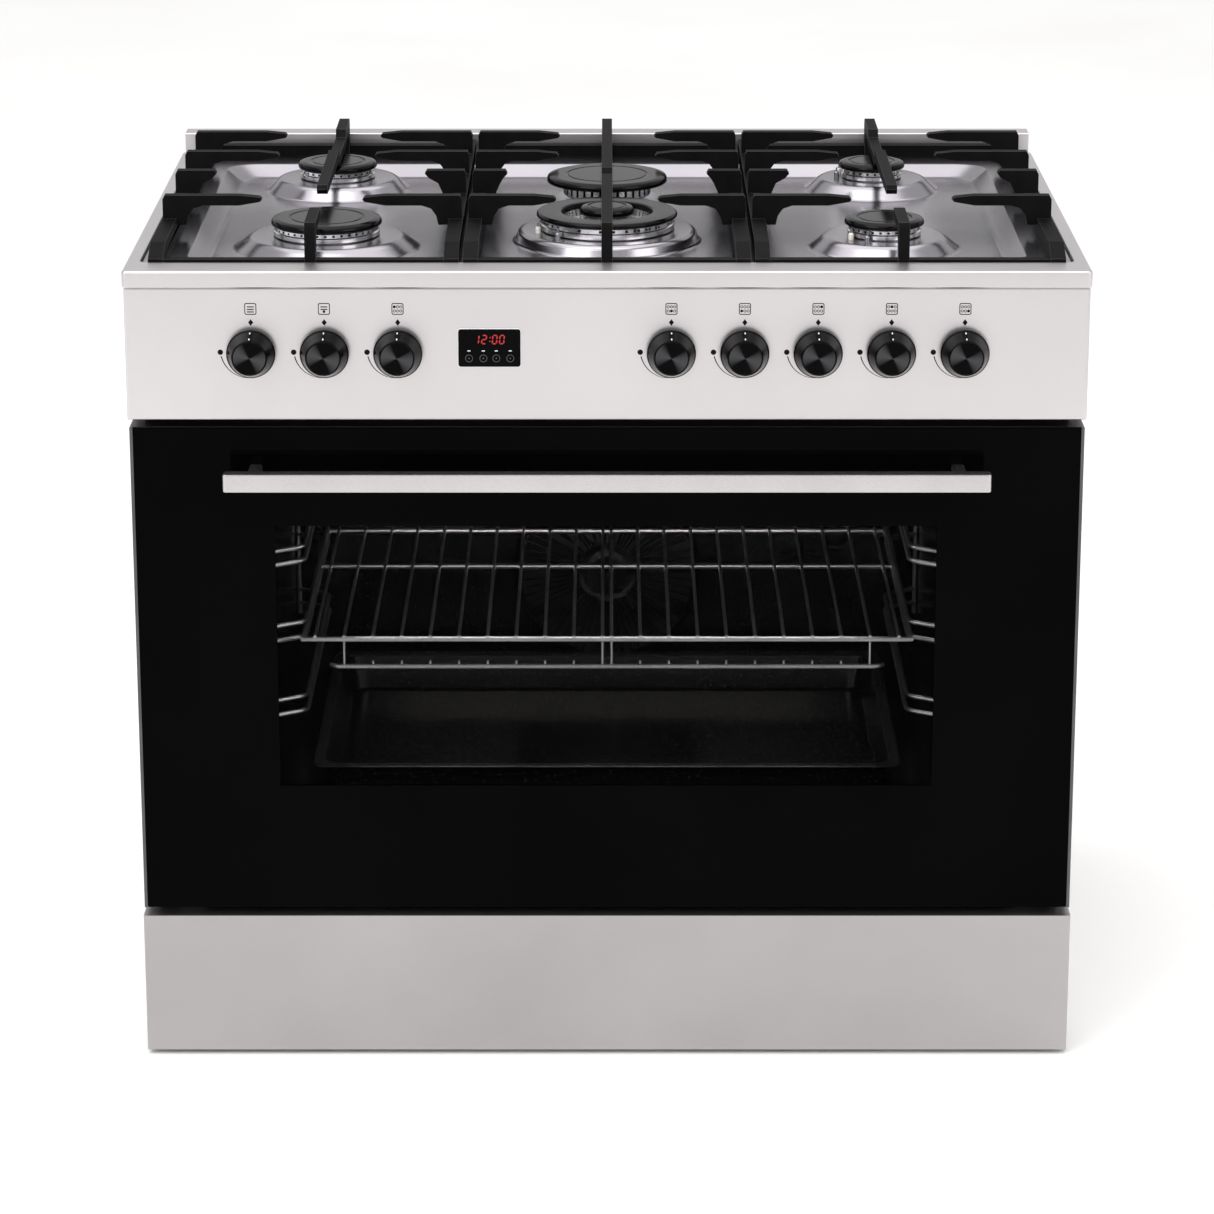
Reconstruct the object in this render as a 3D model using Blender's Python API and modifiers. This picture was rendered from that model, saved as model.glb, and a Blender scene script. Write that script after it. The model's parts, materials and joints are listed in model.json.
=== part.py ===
"""Freestanding gas range, 90 cm wide and 60 cm deep, as separate named pieces.

The range is a sheet-steel body with a pressed steel hob, cast-iron pan supports over six
burners, a row of eight knobs, a drop-down oven door and a storage drawer. Positions are given
as (x, depth, z): x runs across, depth runs back from the door's front face, z is the height
above the floor.
"""
import math

import bmesh
import bpy
from mathutils import Matrix, Vector

# ---- driving dimensions, in metres ----
WIDTH = 0.900
DEPTH = 0.600
HANDLE_REACH = 0.045
INLET_REACH = 0.020
FRONT_Y = HANDLE_REACH - (HANDLE_REACH + DEPTH + INLET_REACH) / 2
HALF = WIDTH / 2
GAP = 0.0003
SHEET = 0.0012
ROUND_STEPS = 20
SMALL_STEPS = 12

# heights of the body's bands
FRAME_BOTTOM = 0.0103
FRAME_TOP = 0.034
FRAME_HALF = 0.438
FRAME_BACK = 0.598
FRAME_RAIL = 0.068
FRAME_CROSS = 0.050
FRAME_WALL = 0.002
FEET_X = 0.404
FEET_DEPTHS = (0.075, 0.573)
DRAWER_BOTTOM = 0.005
DRAWER_TOP = 0.1455
DOOR_BOTTOM = 0.154
DOOR_TOP = 0.6354
PANEL_BOTTOM = 0.643
PANEL_TOP = 0.7702
BODY_TOP = PANEL_TOP - GAP
HOB_BOTTOM = PANEL_TOP + GAP
HOB_TOP = 0.787
LEDGE_TOP = 0.784
WELL_FLOOR = 0.773
UPSTAND_TOP = 0.807

# depths of the body's layers
FRONT_SHELL = 0.0447
BODY_FRONT = 0.045
FLANGE_FRONT = 0.050
BACK_FRONT = DEPTH - SHEET
HOB_BACK = 0.5727

# door
DOOR_HALF = 0.4485
DOOR_THICK = 0.042
GLASS = 0.004
TRIM = 0.003
WINDOW_HALF = 0.320
WINDOW_BOTTOM = 0.262
WINDOW_TOP = 0.560
PIVOT_DEPTH = 0.010
PIVOT_Z = 0.163
HINGE_X = 0.408
HANDLE_HALF = 0.358
HANDLE_THICK = 0.014
HANDLE_LOW = 0.5847
HANDLE_HIGH = 0.6020

# oven
CAVITY_HALF = 0.330
CAVITY_BOTTOM = 0.235
CAVITY_TOP = 0.575
CAVITY_BACK = 0.475
RUNNER_X = 0.294
RUNNER_HEIGHTS = (0.491, 0.477, 0.415, 0.400, 0.339, 0.324)
WIRE = 0.0025
RACK_FRONT = 0.062
RACK_BACK = 0.434
RACK_MIDDLE = 0.305
RACK_Z = 0.4075
RACK_BAR = 0.003
RACK_BAR_THIN = 0.0027
RACK_OVERLAP = 0.002
RACK_WIRE = 0.0018
RACK_WIRES_PER_SIDE = 11
RACK_FIRST_WIRE = 0.0044
RACK_PITCH = 0.0278
GUARD_Z = 0.3798
GUARD_HALF = 0.262
GUARD_STUB = 0.0055
GUARD_LINKS = (0, 9)
LADDER_DEPTHS = (0.075, 0.450)
LADDER_LOW = 0.312
LADDER_HIGH = 0.503
RUNNER_START = 0.095
RUNNER_END = 0.430
TRAY_HALF = 0.2785
TRAY_FRONT = 0.080
TRAY_BACK = 0.425
TRAY_LIP = 0.010
TRAY_RIM = 0.274
GRILL_Z = 0.550
FAN_Z = 0.360
FAN_RADIUS = 0.100
FAN_FACE = 0.440
FAN_SKIN = 0.0012
FAN_BLADES = 8
DISC_DEPTH = 0.466
DISC_THICK = 0.002
DISC_RADIUS = 0.080

# control row
KNOB_Z = 0.7085
KNOB_X = (-0.332, -0.2635, -0.195, 0.060, 0.1284, 0.1968, 0.2652, 0.3336)
FIRST_TAP = 2
KNOB_BACK = -0.0045
KNOB_DEPTH = 0.0215
SPINDLE = 0.004
TAP_BORE = 0.0045
SPINDLE_FRONT = -0.0167
SPINDLE_BACK = 0.0335
DISPLAY_X = -0.1097
DISPLAY_Z = 0.713
RAIL_DEPTH = 0.064
RAIL_RADIUS = 0.008
INLET_X = 0.400

# burners: name, x, depth, cap radius, crown radius, dome top radius, dome base radius
BURNERS = (
    ("front_left", -0.271, 0.165, 0.0535, 0.0515, 0.0725, 0.089),
    ("rear_left", -0.278, 0.445, 0.0405, 0.0385, 0.059, 0.073),
    ("rear_right", 0.273, 0.445, 0.034, 0.031, 0.0525, 0.0685),
    ("front_right", 0.268, 0.165, 0.0385, 0.03575, 0.0565, 0.0725),
)
WOK = (0.0, 0.195)
WOK_DOME = (0.0825, 0.090)
CENTRE_REAR = (0.0, 0.340)
DOME_HEIGHT = 0.0125
DOME_TOP = WELL_FLOOR + DOME_HEIGHT
NECK_INSET = 0.008
NECK_BOTTOM = 0.762
CROWN_TOP = 0.7975
CAP_TOP = 0.803

# pan supports
GRATE_FOOT = LEDGE_TOP + GAP
GRATE_TOP = 0.824
GRATE_FRONT = 0.034
GRATE_REAR = 0.569
BAR_TOP = 0.801
BAR_WIDTH = 0.014
FINGER_THICK = 0.010
FINGER_DEPTHS = (0.495, 0.389, 0.168)
STUB_DEPTH = 0.291
GRATES = (
    ("pan_support_left", -0.430, -0.139, 0.097, 0.042, -0.278),
    ("pan_support_centre", -0.135, 0.135, 0.086, 0.036, 0.0),
    ("pan_support_right", 0.139, 0.430, 0.097, 0.042, 0.278),
)

for old in list(bpy.data.objects):
    bpy.data.objects.remove(old, do_unlink=True)

PARTS = bpy.data.collections.new("gas_range")
TOOLS = bpy.data.collections.new("gas_range_cutters")
bpy.context.scene.collection.children.link(PARTS)
bpy.context.scene.collection.children.link(TOOLS)

FINISHES = {
    "satin_steel": ((0.70, 0.67, 0.68), 0.35, 1.0),
    "hob_steel": ((0.38, 0.36, 0.40), 0.22, 1.0),
    "galvanised": ((0.45, 0.46, 0.48), 0.50, 1.0),
    "dark_enamel": ((0.02, 0.02, 0.022), 0.30, 0.0),
    "cast_iron": ((0.02, 0.02, 0.02), 0.65, 0.0),
    "cap_enamel": ((0.015, 0.015, 0.016), 0.25, 0.0),
    "crown_aluminium": ((0.75, 0.75, 0.76), 0.20, 1.0),
    "knob_black": ((0.01, 0.01, 0.01), 0.20, 0.0),
    "door_glass": ((0.004, 0.004, 0.004), 0.03, 0.0),
    "oven_glass": ((0.05, 0.05, 0.05), 0.03, 0.0),
    "display_black": ((0.005, 0.005, 0.006), 0.05, 0.0),
    "rack_chrome": ((0.60, 0.60, 0.62), 0.18, 1.0),
    "brass": ((0.72, 0.53, 0.24), 0.30, 1.0),
    "rubber": ((0.03, 0.03, 0.03), 0.80, 0.0),
}


def at(x, depth, z):
    """A point in space from its place across, back from the door's face, and up."""
    return Vector((x, FRONT_Y + depth, z))


def finish(obj, name):
    """Give one piece its own material in the named finish."""
    colour, roughness, metallic = FINISHES[name]
    material = bpy.data.materials.new(obj.name + "_" + name)
    material.use_nodes = True
    shader = material.node_tree.nodes["Principled BSDF"]
    shader.inputs["Base Color"].default_value = (*colour, 1.0)
    shader.inputs["Roughness"].default_value = roughness
    shader.inputs["Metallic"].default_value = metallic
    obj.data.materials.append(material)


def part(name, mesh, finish_name):
    """One finished piece of the range."""
    obj = bpy.data.objects.new(name, mesh)
    PARTS.objects.link(obj)
    finish(obj, finish_name)
    return obj


def tool(name, mesh):
    """A solid that is only used to cut or to join."""
    obj = bpy.data.objects.new(name, mesh)
    TOOLS.objects.link(obj)
    obj.hide_render = True
    obj.display_type = "WIRE"
    return obj


def combine(target, operand, operation):
    """Boolean modifier on target with the operand object or mesh."""
    if isinstance(operand, bpy.types.Mesh):
        operand = tool(target.name + "_" + operation.lower(), operand)
    modifier = target.modifiers.new(operation.title(), "BOOLEAN")
    modifier.solver = "EXACT"
    modifier.operation = operation
    modifier.object = operand


def cut(target, operand):
    combine(target, operand, "DIFFERENCE")


def unite(target, operand):
    combine(target, operand, "UNION")


def to_mesh(bm, name="shape"):
    mesh = bpy.data.meshes.new(name)
    bm.to_mesh(mesh)
    bm.free()
    return mesh


def joined(meshes):
    """Several solids that stay clear of each other, in one mesh."""
    bm = bmesh.new()
    for mesh in meshes:
        bm.from_mesh(mesh)
    return to_mesh(bm)


def box(low, high, radius=0.0, axis=None, segments=3):
    """A box between two corners; the edges along one axis may be rounded."""
    low = at(*low)
    high = at(*high)
    bm = bmesh.new()
    bmesh.ops.create_cube(bm, size=1.0)
    bmesh.ops.scale(bm, vec=high - low, verts=bm.verts)
    bmesh.ops.translate(bm, vec=(low + high) / 2, verts=bm.verts)
    if radius:
        edges = []
        for edge in bm.edges:
            span = edge.verts[1].co - edge.verts[0].co
            if abs(span[axis]) > 0.9 * span.length:
                edges.append(edge)
        bmesh.ops.bevel(bm, geom=edges, offset=radius, segments=segments, profile=0.5,
                        affect="EDGES", material=-1)
    return to_mesh(bm)


def tapered_box(low, high, shrink, radius):
    """A box whose bottom face is smaller than its top, with rounded upright edges."""
    mesh = box(low, high)
    bm = bmesh.new()
    bm.from_mesh(mesh)
    middle = (at(*low) + at(*high)) / 2
    for vert in bm.verts:
        if vert.co.z < middle.z:
            vert.co.x -= math.copysign(shrink, vert.co.x - middle.x)
            vert.co.y -= math.copysign(shrink, vert.co.y - middle.y)
    upright = [e for e in bm.edges if abs(e.verts[0].co.z - e.verts[1].co.z) > 1e-5]
    bmesh.ops.bevel(bm, geom=upright, offset=radius, segments=4, profile=0.5,
                    affect="EDGES", material=-1)
    return to_mesh(bm)


def rod(start, end, radius, end_radius=None, segments=SMALL_STEPS):
    """A round bar or truncated cone from start to end."""
    start = at(*start)
    end = at(*end)
    span = end - start
    bm = bmesh.new()
    bmesh.ops.create_cone(bm, cap_ends=True, segments=segments, radius1=radius,
                          radius2=radius if end_radius is None else end_radius,
                          depth=span.length)
    turn = Vector((0, 0, 1)).rotation_difference(span).to_matrix().to_4x4()
    bmesh.ops.transform(bm, matrix=Matrix.Translation((start + end) / 2) @ turn, verts=bm.verts)
    return to_mesh(bm)


def curve_mesh(curve, matrix):
    """The closed mesh of a curve, with its loose caps welded on."""
    obj = bpy.data.objects.new("curve", curve)
    TOOLS.objects.link(obj)
    evaluated = obj.evaluated_get(bpy.context.evaluated_depsgraph_get())
    mesh = bpy.data.meshes.new_from_object(evaluated)
    bpy.data.objects.remove(obj, do_unlink=True)
    mesh.transform(matrix)
    bm = bmesh.new()
    bm.from_mesh(mesh)
    bmesh.ops.remove_doubles(bm, verts=bm.verts, dist=0.00001)
    bmesh.ops.recalc_face_normals(bm, faces=bm.faces)
    return to_mesh(bm)


def wire(points, radius, cyclic=False, resolution=1):
    """A round wire or pipe along straight runs between the points."""
    curve = bpy.data.curves.new("wire", "CURVE")
    curve.dimensions = "3D"
    curve.bevel_depth = radius
    curve.bevel_resolution = resolution
    curve.use_fill_caps = True
    spline = curve.splines.new("POLY")
    spline.points.add(len(points) - 1)
    spline.use_cyclic_u = cyclic
    for point, place in zip(spline.points, points):
        point.co = (*at(*place), 1.0)
    return curve_mesh(curve, Matrix.Identity(4))


def plate(outline, thickness, centre, facing):
    """A flat outline of given thickness. facing X: outline is (depth, z); Y: (x, z)."""
    curve = bpy.data.curves.new("plate", "CURVE")
    curve.dimensions = "2D"
    curve.fill_mode = "BOTH"
    curve.extrude = thickness / 2
    spline = curve.splines.new("POLY")
    spline.points.add(len(outline) - 1)
    spline.use_cyclic_u = True
    for point, (u, z) in zip(spline.points, outline):
        point.co = (u, z, 0.0, 1.0)
    if facing == "X":
        columns = Matrix(((0, 0, 1), (1, 0, 0), (0, 1, 0)))
        offset = Vector((centre, FRONT_Y, 0))
    else:
        columns = Matrix(((1, 0, 0), (0, 0, -1), (0, 1, 0)))
        offset = Vector((0, FRONT_Y + centre, 0))
    return curve_mesh(curve, Matrix.Translation(offset) @ columns.to_4x4())


def turned(name, profile, centre, finish_name, loop=False, steps=ROUND_STEPS,
           facing_front=False):
    """A turned piece: (radius, height) points down the outer side, spun round its axis."""
    bm = bmesh.new()
    verts = [bm.verts.new((radius, 0.0, height)) for radius, height in profile]
    pairs = list(zip(verts, verts[1:]))
    if loop:
        pairs.append((verts[-1], verts[0]))
    for pair in pairs:
        bm.edges.new(pair)
    obj = part(name, to_mesh(bm, name), finish_name)
    obj.location = at(*centre)
    if facing_front:
        obj.rotation_euler = (math.pi / 2, 0, 0)
    screw = obj.modifiers.new("Turn", "SCREW")
    screw.angle = 2 * math.pi
    screw.axis = "Z"
    screw.steps = steps
    screw.render_steps = steps
    screw.use_merge_vertices = True
    screw.merge_threshold = 0.00001
    screw.use_smooth_shade = True
    return obj


def put_origin(obj, point):
    """Move a piece's origin to a point on its joint's axis, leaving the piece in place."""
    point = at(*point)
    obj.data.transform(Matrix.Translation(-point))
    obj.location = point


# ---- body ----
def feet():
    """Four levelling feet whose stems stand in the base frame's bosses."""
    for row, depth in zip(("front", "rear"), FEET_DEPTHS):
        for side, x in (("left", -FEET_X), ("right", FEET_X)):
            profile = [(0, 0.032), (0.0048, 0.032), (0.0048, 0.010), (0.018, 0.009),
                       (0.0175, 0), (0, 0)]
            turned(f"foot_{row}_{side}", profile, (x, depth, 0), "rubber", steps=SMALL_STEPS)


def base_frame():
    """Folded channel frame, open below, with a boss for each foot."""
    cross_front = FLANGE_FRONT + FRAME_CROSS
    inner = FRAME_HALF - FRAME_RAIL
    obj = part("base_frame", box((-FRAME_HALF, FLANGE_FRONT, FRAME_BOTTOM),
                                 (FRAME_HALF, FRAME_BACK, FRAME_TOP)), "galvanised")
    cut(obj, box((-inner, cross_front, 0), (inner, FRAME_BACK - FRAME_CROSS, 0.1)))
    top = FRAME_TOP - FRAME_WALL
    hollow = []
    for side in (-1, 1):
        ends = sorted((side * (FRAME_HALF - FRAME_WALL), side * (inner + FRAME_WALL)))
        hollow.append(box((ends[0], FLANGE_FRONT + FRAME_WALL, 0),
                          (ends[1], FRAME_BACK - FRAME_WALL, top)))
    cut(obj, joined(hollow))
    cross = []
    for low in (FLANGE_FRONT + FRAME_WALL, FRAME_BACK - FRAME_CROSS + FRAME_WALL):
        cross.append(box((-inner - FRAME_WALL, low, 0),
                         (inner + FRAME_WALL, low + FRAME_CROSS - 2 * FRAME_WALL, top)))
    cut(obj, joined(cross))
    places = [(x, depth) for x in (-FEET_X, FEET_X) for depth in FEET_DEPTHS]
    unite(obj, joined([rod((x, d, FRAME_BOTTOM + 0.002), (x, d, FRAME_TOP - 0.0005), 0.010)
                       for x, d in places]))
    cut(obj, joined([rod((x, d, 0), (x, d, 0.0325), 0.005 + GAP) for x, d in places]))


def side_panels():
    """Outer side sheets with a narrow fold all round."""
    fold = 0.0115
    for name, side in (("side_panel_left", -1), ("side_panel_right", 1)):
        outer = sorted((side * (HALF - fold), side * HALF))
        inner = sorted((side * (HALF - fold - 0.01), side * (HALF - SHEET)))
        obj = part(name, box((outer[0], BODY_FRONT, FRAME_BOTTOM),
                             (outer[1], BACK_FRONT - GAP, BODY_TOP)), "satin_steel")
        cut(obj, box((inner[0], BODY_FRONT + SHEET, FRAME_BOTTOM + SHEET),
                     (inner[1], BACK_FRONT - GAP - SHEET, BODY_TOP - SHEET)))


def back_panel():
    """Flat rear sheet with air slots and a hole for the gas inlet."""
    obj = part("back_panel", box((-HALF, BACK_FRONT, FRAME_BOTTOM), (HALF, DEPTH, BODY_TOP)),
               "galvanised")
    slots = []
    for row in range(2):
        for column in range(6):
            x = (column - 2.5) * 0.105
            z = 0.66 - row * 0.016
            slots.append(box((x - 0.038, 0.59, z - 0.0025), (x + 0.038, 0.61, z + 0.0025)))
    slots.append(rod((INLET_X, 0.59, KNOB_Z), (INLET_X, 0.61, KNOB_Z), 0.0125))
    cut(obj, joined(slots))


def control_panel():
    """Folded front sheet above the door, open behind, with holes for taps and display."""
    bm = bmesh.new()
    bm.from_mesh(box((-HALF, 0, PANEL_BOTTOM), (HALF, FRONT_SHELL, PANEL_TOP)))
    front = [e for e in bm.edges if all(v.co.y < FRONT_Y + 0.001 for v in e.verts)]
    bmesh.ops.bevel(bm, geom=front, offset=0.002, segments=3, profile=0.5, affect="EDGES",
                    material=-1)
    obj = part("control_panel", to_mesh(bm), "satin_steel")
    cut(obj, box((-HALF + SHEET, SHEET, PANEL_BOTTOM + SHEET),
                 (HALF - SHEET, FRONT_SHELL + 0.01, PANEL_TOP - SHEET)))
    holes = [rod((x, -0.01, KNOB_Z), (x, 0.01, KNOB_Z), 0.005) for x in KNOB_X]
    holes.append(box((DISPLAY_X - 0.0275, -0.01, DISPLAY_Z - 0.0165),
                     (DISPLAY_X + 0.0275, 0.01, DISPLAY_Z + 0.0165)))
    cut(obj, joined(holes))


def timer_display():
    """Clock module: a small glass face with its body behind the panel."""
    obj = part("timer_display", box((DISPLAY_X - 0.0295, -0.0018, DISPLAY_Z - 0.0185),
                                    (DISPLAY_X + 0.0295, -GAP, DISPLAY_Z + 0.0185),
                                    0.003, 1), "display_black")
    unite(obj, box((DISPLAY_X - 0.0272, -0.001, DISPLAY_Z - 0.0162),
                   (DISPLAY_X + 0.0272, 0.024, DISPLAY_Z + 0.0162)))


# ---- hob ----
def hob_solid(inset):
    """The hob's outline as a solid, drawn in by inset on every side."""
    bottom = HOB_BOTTOM if inset == 0 else HOB_BOTTOM - 0.01
    high = HOB_TOP - inset
    block = box((-0.451 + inset, -0.005 + inset, bottom), (0.451 - inset, HOB_BACK - inset, high),
                0.006 - inset, 2)
    obj = part("hob_top", block, "hob_steel") if inset == 0 else tool("hob_inside", block)
    cut(obj, box((-0.437 - inset, 0.033 - inset, LEDGE_TOP - inset),
                 (0.437 + inset, 0.570 + inset, 0.80), 0.008 + inset, 2))
    cut(obj, tapered_box((-0.396 - inset, 0.048 - inset, WELL_FLOOR - inset),
                         (0.396 + inset, 0.520 + inset, LEDGE_TOP + 0.004), 0.017, 0.030))
    domes = [(x, d, top, base) for _, x, d, _, _, top, base in BURNERS]
    domes.append((*WOK, *WOK_DOME))
    cones = []
    for x, depth, top, base in domes:
        cones.append(rod((x, depth, WELL_FLOOR - inset - 0.001), (x, depth, DOME_TOP - inset),
                         base - inset, top - inset, 24))
    unite(obj, joined(cones))
    return obj


def neck_radius(crown):
    return crown - NECK_INSET


def hob_top():
    """Pressed steel hob: rim, ledge, sunken well, a dome and a hole under each burner."""
    obj = hob_solid(0)
    cut(obj, hob_solid(0.0015))
    holes = [(x, d, neck_radius(crown)) for _, x, d, _, crown, _, _ in BURNERS]
    holes.append((*WOK, 0.052))
    holes.append((*CENTRE_REAR, 0.030))
    cut(obj, joined([rod((x, d, 0.76), (x, d, 0.80), r + GAP, None, ROUND_STEPS)
                     for x, d, r in holes]))


def rear_upstand():
    """Folded strip along the back of the hob."""
    obj = part("rear_upstand", box((-0.448, HOB_BACK + GAP, HOB_BOTTOM),
                                   (0.448, DEPTH, UPSTAND_TOP), 0.0015, 0), "satin_steel")
    cut(obj, box((-0.448 + SHEET, HOB_BACK + GAP + SHEET, HOB_BOTTOM - 0.01),
                 (0.448 - SHEET, DEPTH - SHEET, UPSTAND_TOP - SHEET)))


def corner_burners():
    """Four burners, each an aluminium crown on the hob and an enamelled cap on the crown."""
    for place, x, depth, cap, crown, _, _ in BURNERS:
        neck = neck_radius(crown)
        seat = DOME_TOP + 0.0025
        wall = 0.004
        turned(f"burner_{place}_crown",
               [(neck - wall, CROWN_TOP - 0.0015), (crown, CROWN_TOP - 0.0015), (crown, seat),
                (neck, seat), (neck, NECK_BOTTOM), (neck - wall, NECK_BOTTOM)],
               (x, depth, 0), "crown_aluminium", loop=True)
        under = CROWN_TOP - 0.0015 + GAP
        spigot = neck - wall - 0.0006
        turned(f"burner_{place}_cap",
               [(0, CAP_TOP), (cap - 0.003, CAP_TOP), (cap, CAP_TOP - 0.0025), (cap, under),
                (spigot, under), (spigot, under - 0.003), (0, under - 0.003)],
               (x, depth, 0), "cap_enamel")


def centre_burners():
    """The double-ring wok burner, and the small burner with a wide lid behind it."""
    seat = DOME_TOP + 0.0025
    under = CROWN_TOP + GAP
    turned("burner_wok_crown",
           [(0, 0.7995), (0.023, 0.7995), (0.023, 0.790), (0.044, 0.790), (0.044, CROWN_TOP),
            (0.066, CROWN_TOP), (0.066, seat + 0.004), (0.060, seat), (0.052, seat),
            (0.052, NECK_BOTTOM), (0, NECK_BOTTOM)],
           (*WOK, 0), "crown_aluminium")
    turned("burner_wok_ring_cap",
           [(0.0435, CAP_TOP), (0.0655, CAP_TOP), (0.0685, CAP_TOP - 0.0025), (0.0685, under),
            (0.0435, under)],
           (*WOK, 0), "cap_enamel", loop=True)
    turned("burner_wok_inner_cap",
           [(0, 0.808), (0.022, 0.808), (0.026, 0.8055), (0.026, 0.7998), (0, 0.7998)],
           (*WOK, 0), "cap_enamel")
    turned("burner_centre_rear",
           [(0, 0.810), (0.0575, 0.810), (0.0605, 0.8075), (0.0605, 0.8026), (0.044, 0.8026),
            (0.044, 0.790), (0.036, WELL_FLOOR + 0.0008), (0.030, WELL_FLOOR + 0.0008),
            (0.030, NECK_BOTTOM), (0, NECK_BOTTOM)],
           (*CENTRE_REAR, 0), "cap_enamel")


def finger(edge, side, reach, depth, stub):
    """One arm that reaches in from a side bar to carry a pan, with its leg."""
    if stub:
        outline = [(0.001, 0.795), (0.001, 0.820), (0.003, GRATE_TOP), (reach - 0.002, GRATE_TOP),
                   (reach, 0.8205), (reach - 0.004, 0.816), (0.029, 0.811), (0.025, 0.802),
                   (0.024, 0.795)]
    else:
        outline = [(0.001, 0.795), (0.001, 0.820), (0.003, GRATE_TOP), (reach - 0.022, GRATE_TOP),
                   (reach - 0.002, 0.822), (reach, 0.8195), (reach - 0.002, 0.8175),
                   (reach - 0.022, 0.814), (0.040, 0.814), (0.031, 0.811), (0.026, 0.804),
                   (0.024, 0.795)]
    return plate([(edge + side * u, z) for u, z in outline], FINGER_THICK, depth, "Y")


def spine_outlines(centre_grate):
    """Outlines (depth, z) of the bars along a pan support's centre line."""
    front_leg = [(GRATE_FRONT, 0.786), (GRATE_FRONT, 0.818), (GRATE_FRONT + 0.004, GRATE_TOP)]
    front_foot = [(0.055, 0.813), (0.047, 0.805), (0.046, 0.786)]
    rear_leg = [(GRATE_REAR - 0.003, GRATE_TOP), (GRATE_REAR, 0.820), (GRATE_REAR, 0.786),
                (0.553, 0.786), (0.552, 0.806), (0.545, 0.813)]
    if centre_grate:
        return [front_leg + [(0.270, GRATE_TOP), (0.273, 0.818), (0.297, 0.818),
                             (0.302, GRATE_TOP)] + rear_leg + front_foot]
    front = front_leg + [(0.106, GRATE_TOP), (0.110, 0.820), (0.106, 0.815)] + front_foot
    middle = [(0.210, 0.820), (0.214, GRATE_TOP), (0.393, GRATE_TOP), (0.398, 0.816),
              (0.500, 0.816), (0.505, GRATE_TOP)] + rear_leg
    middle += [(0.503, 0.807), (0.398, 0.807), (0.392, 0.8135), (0.214, 0.815)]
    return [front, middle]


def pan_supports():
    """Three cast-iron grids that stand on the hob's ledge."""
    side_bar = [(GRATE_FRONT, GRATE_FOOT), (GRATE_FRONT, 0.790), (0.060, BAR_TOP),
                (GRATE_REAR, BAR_TOP), (GRATE_REAR, GRATE_FOOT)]
    for name, left, right, reach, stub_reach, spine_x in GRATES:
        bars = [plate(side_bar, BAR_WIDTH, x, "X")
                for x in (left + BAR_WIDTH / 2, right - BAR_WIDTH / 2)]
        obj = part(name, joined(bars), "cast_iron")
        ends = [box((left + 0.001, GRATE_FRONT + 0.0005, GRATE_FOOT + 0.0002),
                    (right - 0.001, GRATE_FRONT + 0.010, 0.7895)),
                box((left + 0.001, GRATE_REAR - 0.012, GRATE_FOOT + 0.0002),
                    (right - 0.001, GRATE_REAR - 0.0005, 0.797))]
        unite(obj, joined(ends))
        fingers = []
        for edge, side in ((left, 1), (right, -1)):
            for depth in FINGER_DEPTHS:
                fingers.append(finger(edge, side, reach, depth, False))
            fingers.append(finger(edge, side, stub_reach, STUB_DEPTH, True))
        unite(obj, joined(fingers))
        spines = [plate(outline, 0.0105, spine_x, "X") for outline in spine_outlines(spine_x == 0)]
        unite(obj, joined(spines))
        put_origin(obj, ((left + right) / 2, (GRATE_FRONT + GRATE_REAR) / 2, GRATE_FOOT))


# ---- controls ----
def knobs():
    """Eight turning knobs; the six on the right turn gas taps and push in to open."""
    profile = [(0, KNOB_DEPTH), (0.0158, KNOB_DEPTH), (0.0178, 0.0085), (0.023, 0.0045),
               (0.023, 0), (0, 0)]
    for index, x in enumerate(KNOB_X):
        knob = turned(f"knob_{index + 1}", profile, (x, KNOB_BACK, KNOB_Z), "knob_black",
                      steps=16, facing_front=True)
        if index < FIRST_TAP:
            unite(knob, rod((x, KNOB_BACK - 0.003, KNOB_Z), (x, 0.020, KNOB_Z), SPINDLE, None, 8))
        else:
            cut(knob, rod((x, SPINDLE_FRONT - GAP, KNOB_Z), (x, 0.01, KNOB_Z), TAP_BORE, None, 8))
            shaft = rod((x, SPINDLE_FRONT, KNOB_Z), (x, SPINDLE_BACK, KNOB_Z), SPINDLE, None, 8)
            spindle = part(f"tap_spindle_{index + 1}", shaft, "brass")
            put_origin(spindle, (x, 0, KNOB_Z))


def gas_manifold():
    """Gas rail with a tap behind each burner knob, feed pipes, and the inlet at the back."""
    taps = KNOB_X[FIRST_TAP:]
    inlet_end = DEPTH + INLET_REACH
    obj = part("gas_manifold", rod((taps[0] - 0.016, RAIL_DEPTH, KNOB_Z),
                                   (INLET_X + 0.004, RAIL_DEPTH, KNOB_Z), RAIL_RADIUS), "brass")
    unite(obj, rod((INLET_X, RAIL_DEPTH - 0.0025, KNOB_Z), (INLET_X, inlet_end - 0.001, KNOB_Z),
                   RAIL_RADIUS - 0.001))
    unite(obj, rod((INLET_X, BACK_FRONT - 0.02, KNOB_Z), (INLET_X, inlet_end, KNOB_Z), 0.0105))
    bodies = [box((x - 0.011, 0.030, KNOB_Z - 0.013), (x + 0.011, 0.0617, KNOB_Z + 0.013))
              for x in taps]
    unite(obj, joined(bodies))
    cut(obj, joined([rod((x, 0, KNOB_Z), (x, 0.037, KNOB_Z), TAP_BORE, None, 8) for x in taps]))
    feeds = ((BURNERS[0][1:3], 0.052, 0.750), (BURNERS[1][1:3], 0.041, 0.730),
             (CENTRE_REAR, 0.041, 0.737), (WOK, 0.052, 0.750),
             (BURNERS[2][1:3], 0.041, 0.730), (BURNERS[3][1:3], 0.052, 0.750))
    for tap, ((x, depth), start, height) in zip(taps, feeds):
        run = [(tap, start, KNOB_Z + 0.009), (tap, start, height), (x, start, height),
               (x, depth, height), (x, depth, NECK_BOTTOM - GAP)]
        unite(obj, wire(run, 0.003))


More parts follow.
